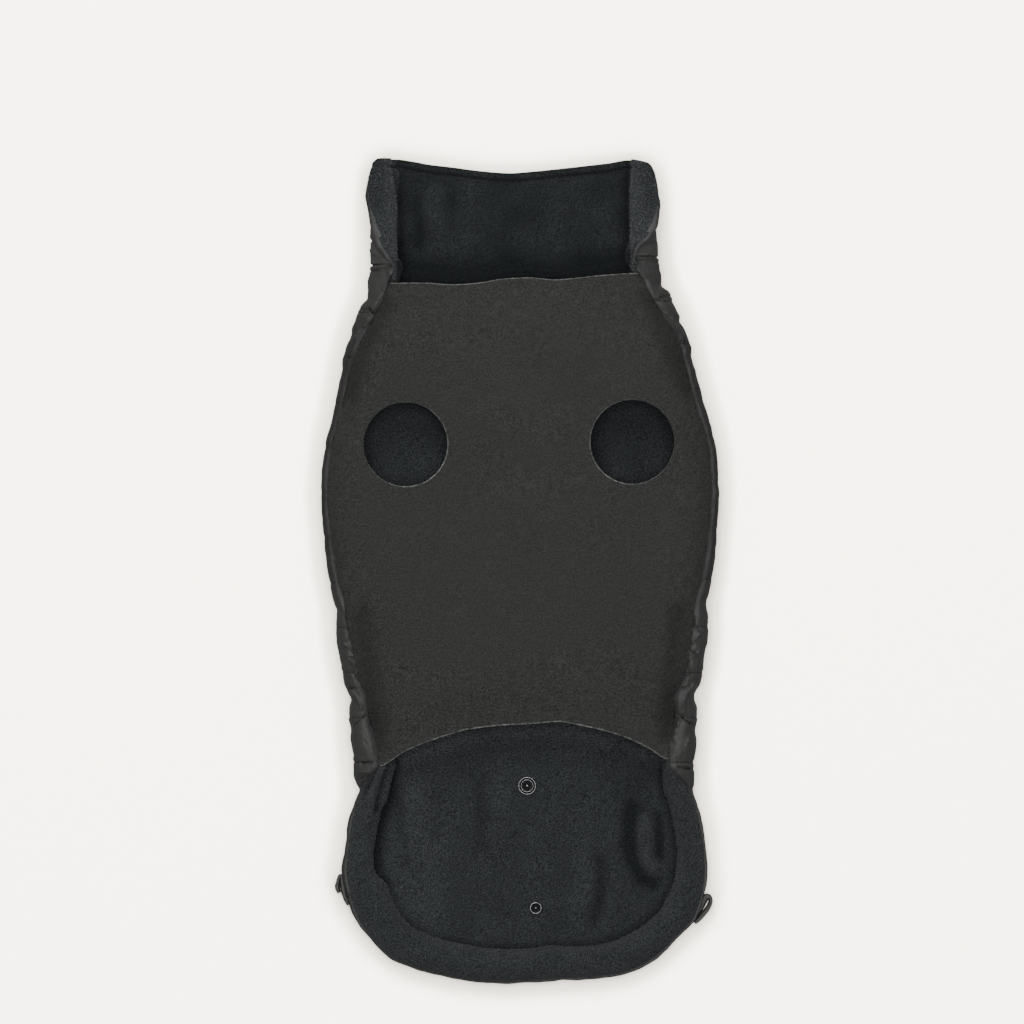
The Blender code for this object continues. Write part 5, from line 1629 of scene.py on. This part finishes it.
def on_shell(line):
    """Close points along a line of (x, y), laid on the shell's upper side."""
    upper = shell_out[:, FOOT_POINTS:].reshape(-1, 3)
    pairs = zip(line[:-1], line[1:])
    spots = np.concatenate([np.linspace(a, b, BETWEEN_POINTS, endpoint=False) for a, b in pairs])
    nearest = [np.argmin(np.hypot(upper[:, 0] - x, upper[:, 1] - y)) for x, y in spots]
    return np.column_stack([spots, upper[nearest, 2] + THREAD_RISE])


sew("pleat_stitches", [on_shell(np.array(line)) for line in PLEAT_LINES], **PLEAT_STITCH)
hem_line = meet(fleece_in, -below_top(fleece_in), -COLLAR_HEM)
hem_line = np.array([spot for spot in hem_line if abs(spot[0]) < HEM_HALF]) + (0, 0, HEM_RISE)
sew("collar_hem_stitches", [hem_line], **HEM_STITCH)

# %% [markdown]
# ## Loose pile
#
# Brushed fleece sheds a few lighter fibres that stand out of the pile, most where it is bent over an edge.
# They catch the light as fine specks. A second tree scatters short tapered fibres over a surface with a fixed
# seed and leans each one a little off the surface's own direction.

# %% A tree that scatters fibres
pile_tree = Tree(
    "loose_pile", ("Density", "NodeSocketFloat"), ("Fibre length", "NodeSocketFloat"),
    ("Fibre radius", "NodeSocketFloat"), ("Lean", "NodeSocketFloat"), ("Seed", "NodeSocketInt"),
    ("Material", "NodeSocketMaterial"),
)
given = pile_tree.given
scattered = pile_tree.add(
    "GeometryNodeDistributePointsOnFaces",
    Mesh=given["Geometry"], Density=given["Density"], Seed=given["Seed"],
)
surface_normal = scattered.node.outputs["Normal"]
sideways = pile_tree.add(
    "FunctionNodeRandomValue", settings={"data_type": "FLOAT_VECTOR"}, _0=(-1, -1, -0.2), _1=(1, 1, 0.2),
    Seed=given["Seed"],
)
scaled, added = {"operation": "SCALE"}, {"operation": "ADD"}
lean = pile_tree.add("ShaderNodeVectorMath", settings=scaled, _0=sideways, Scale=given["Lean"])
leaning = pile_tree.add("ShaderNodeVectorMath", settings=added, _0=surface_normal, _1=lean)
fibre = pile_tree.add(
    "GeometryNodeMeshCone", settings={"fill_type": "NGON"}, Vertices=3, Radius_Top=0.0,
    Radius_Bottom=given["Fibre radius"], Depth=given["Fibre length"],
)
size = pile_tree.add(
    "FunctionNodeRandomValue", output=1, settings={"data_type": "FLOAT"}, _2=0.5, _3=1.3, Seed=7,
)
pile_tree.finish(pile_tree.add(
    "GeometryNodeInstanceOnPoints", Points=scattered, Instance=fibre, Scale=size,
    Rotation=pile_tree.add("FunctionNodeAlignRotationToVector", settings={"axis": "Z"}, Vector=leaning),
))
print("The pile tree has", len(pile_tree.group.nodes), "nodes")


# %% Fibres on the fleece
LAPEL_ABOVE, LAPEL_FORWARD = 12, 165  # a lapel's fleece is higher and further forward than this
FLAP_BEHIND, SUNK, LOOKS_UP = -84, 1.5, 0.5


def scatter(name, points, faces, per_square_mm, length, radius, seed):
    """Scatters fibres over faces, on the side that looks up."""
    points = np.asarray(points).reshape(-1, 3)
    kept = []
    for face in faces:
        a, b, c = points[face[0]], points[face[1]], points[face[2]]
        normal = np.cross(b - a, c - a)
        kept.append(face if normal[2] > 0 else face[::-1])
    return pile_tree.run(
        name, points, [], kept, "dark_fleece", Material=lint.material, Density=per_square_mm / MM**2,
        Fibre_length=length * MM, Fibre_radius=radius * MM, Lean=1.6, Seed=seed,
    )


band_faces = grid_faces(*band_out.shape[:2], 0)
scatter("band_fibres", band_out, band_faces, per_square_mm=0.45, length=1.0, radius=0.09, seed=3)
lapel_faces, flat_fleece = [], fleece_in.reshape(-1, 3)
for face in grid_faces(*fleece_in.shape[:2], 0):
    middle = flat_fleece[list(face)].mean(0)
    if middle[2] > LAPEL_ABOVE and middle[1] > LAPEL_FORWARD and inside_lapels(middle[0]) < 0:
        lapel_faces.append(face)
scatter("lapel_fibres", flat_fleece, lapel_faces, per_square_mm=2.8, length=1.0, radius=0.11, seed=5)
spots = np.array([(v.co.x, v.co.y, v.co.z) for v in lining.data.vertices]) / MM
flap_faces = []
for face in lining.data.polygons:
    middle = spots[list(face.vertices)].mean(0)
    if face.normal.z > LOOKS_UP and middle[1] < FLAP_BEHIND and middle[2] > LINING_IN - SUNK:
        flap_faces.append(tuple(face.vertices))
scatter("flap_fibres", spots, flap_faces, per_square_mm=0.3, length=1.0, radius=0.08, seed=9)
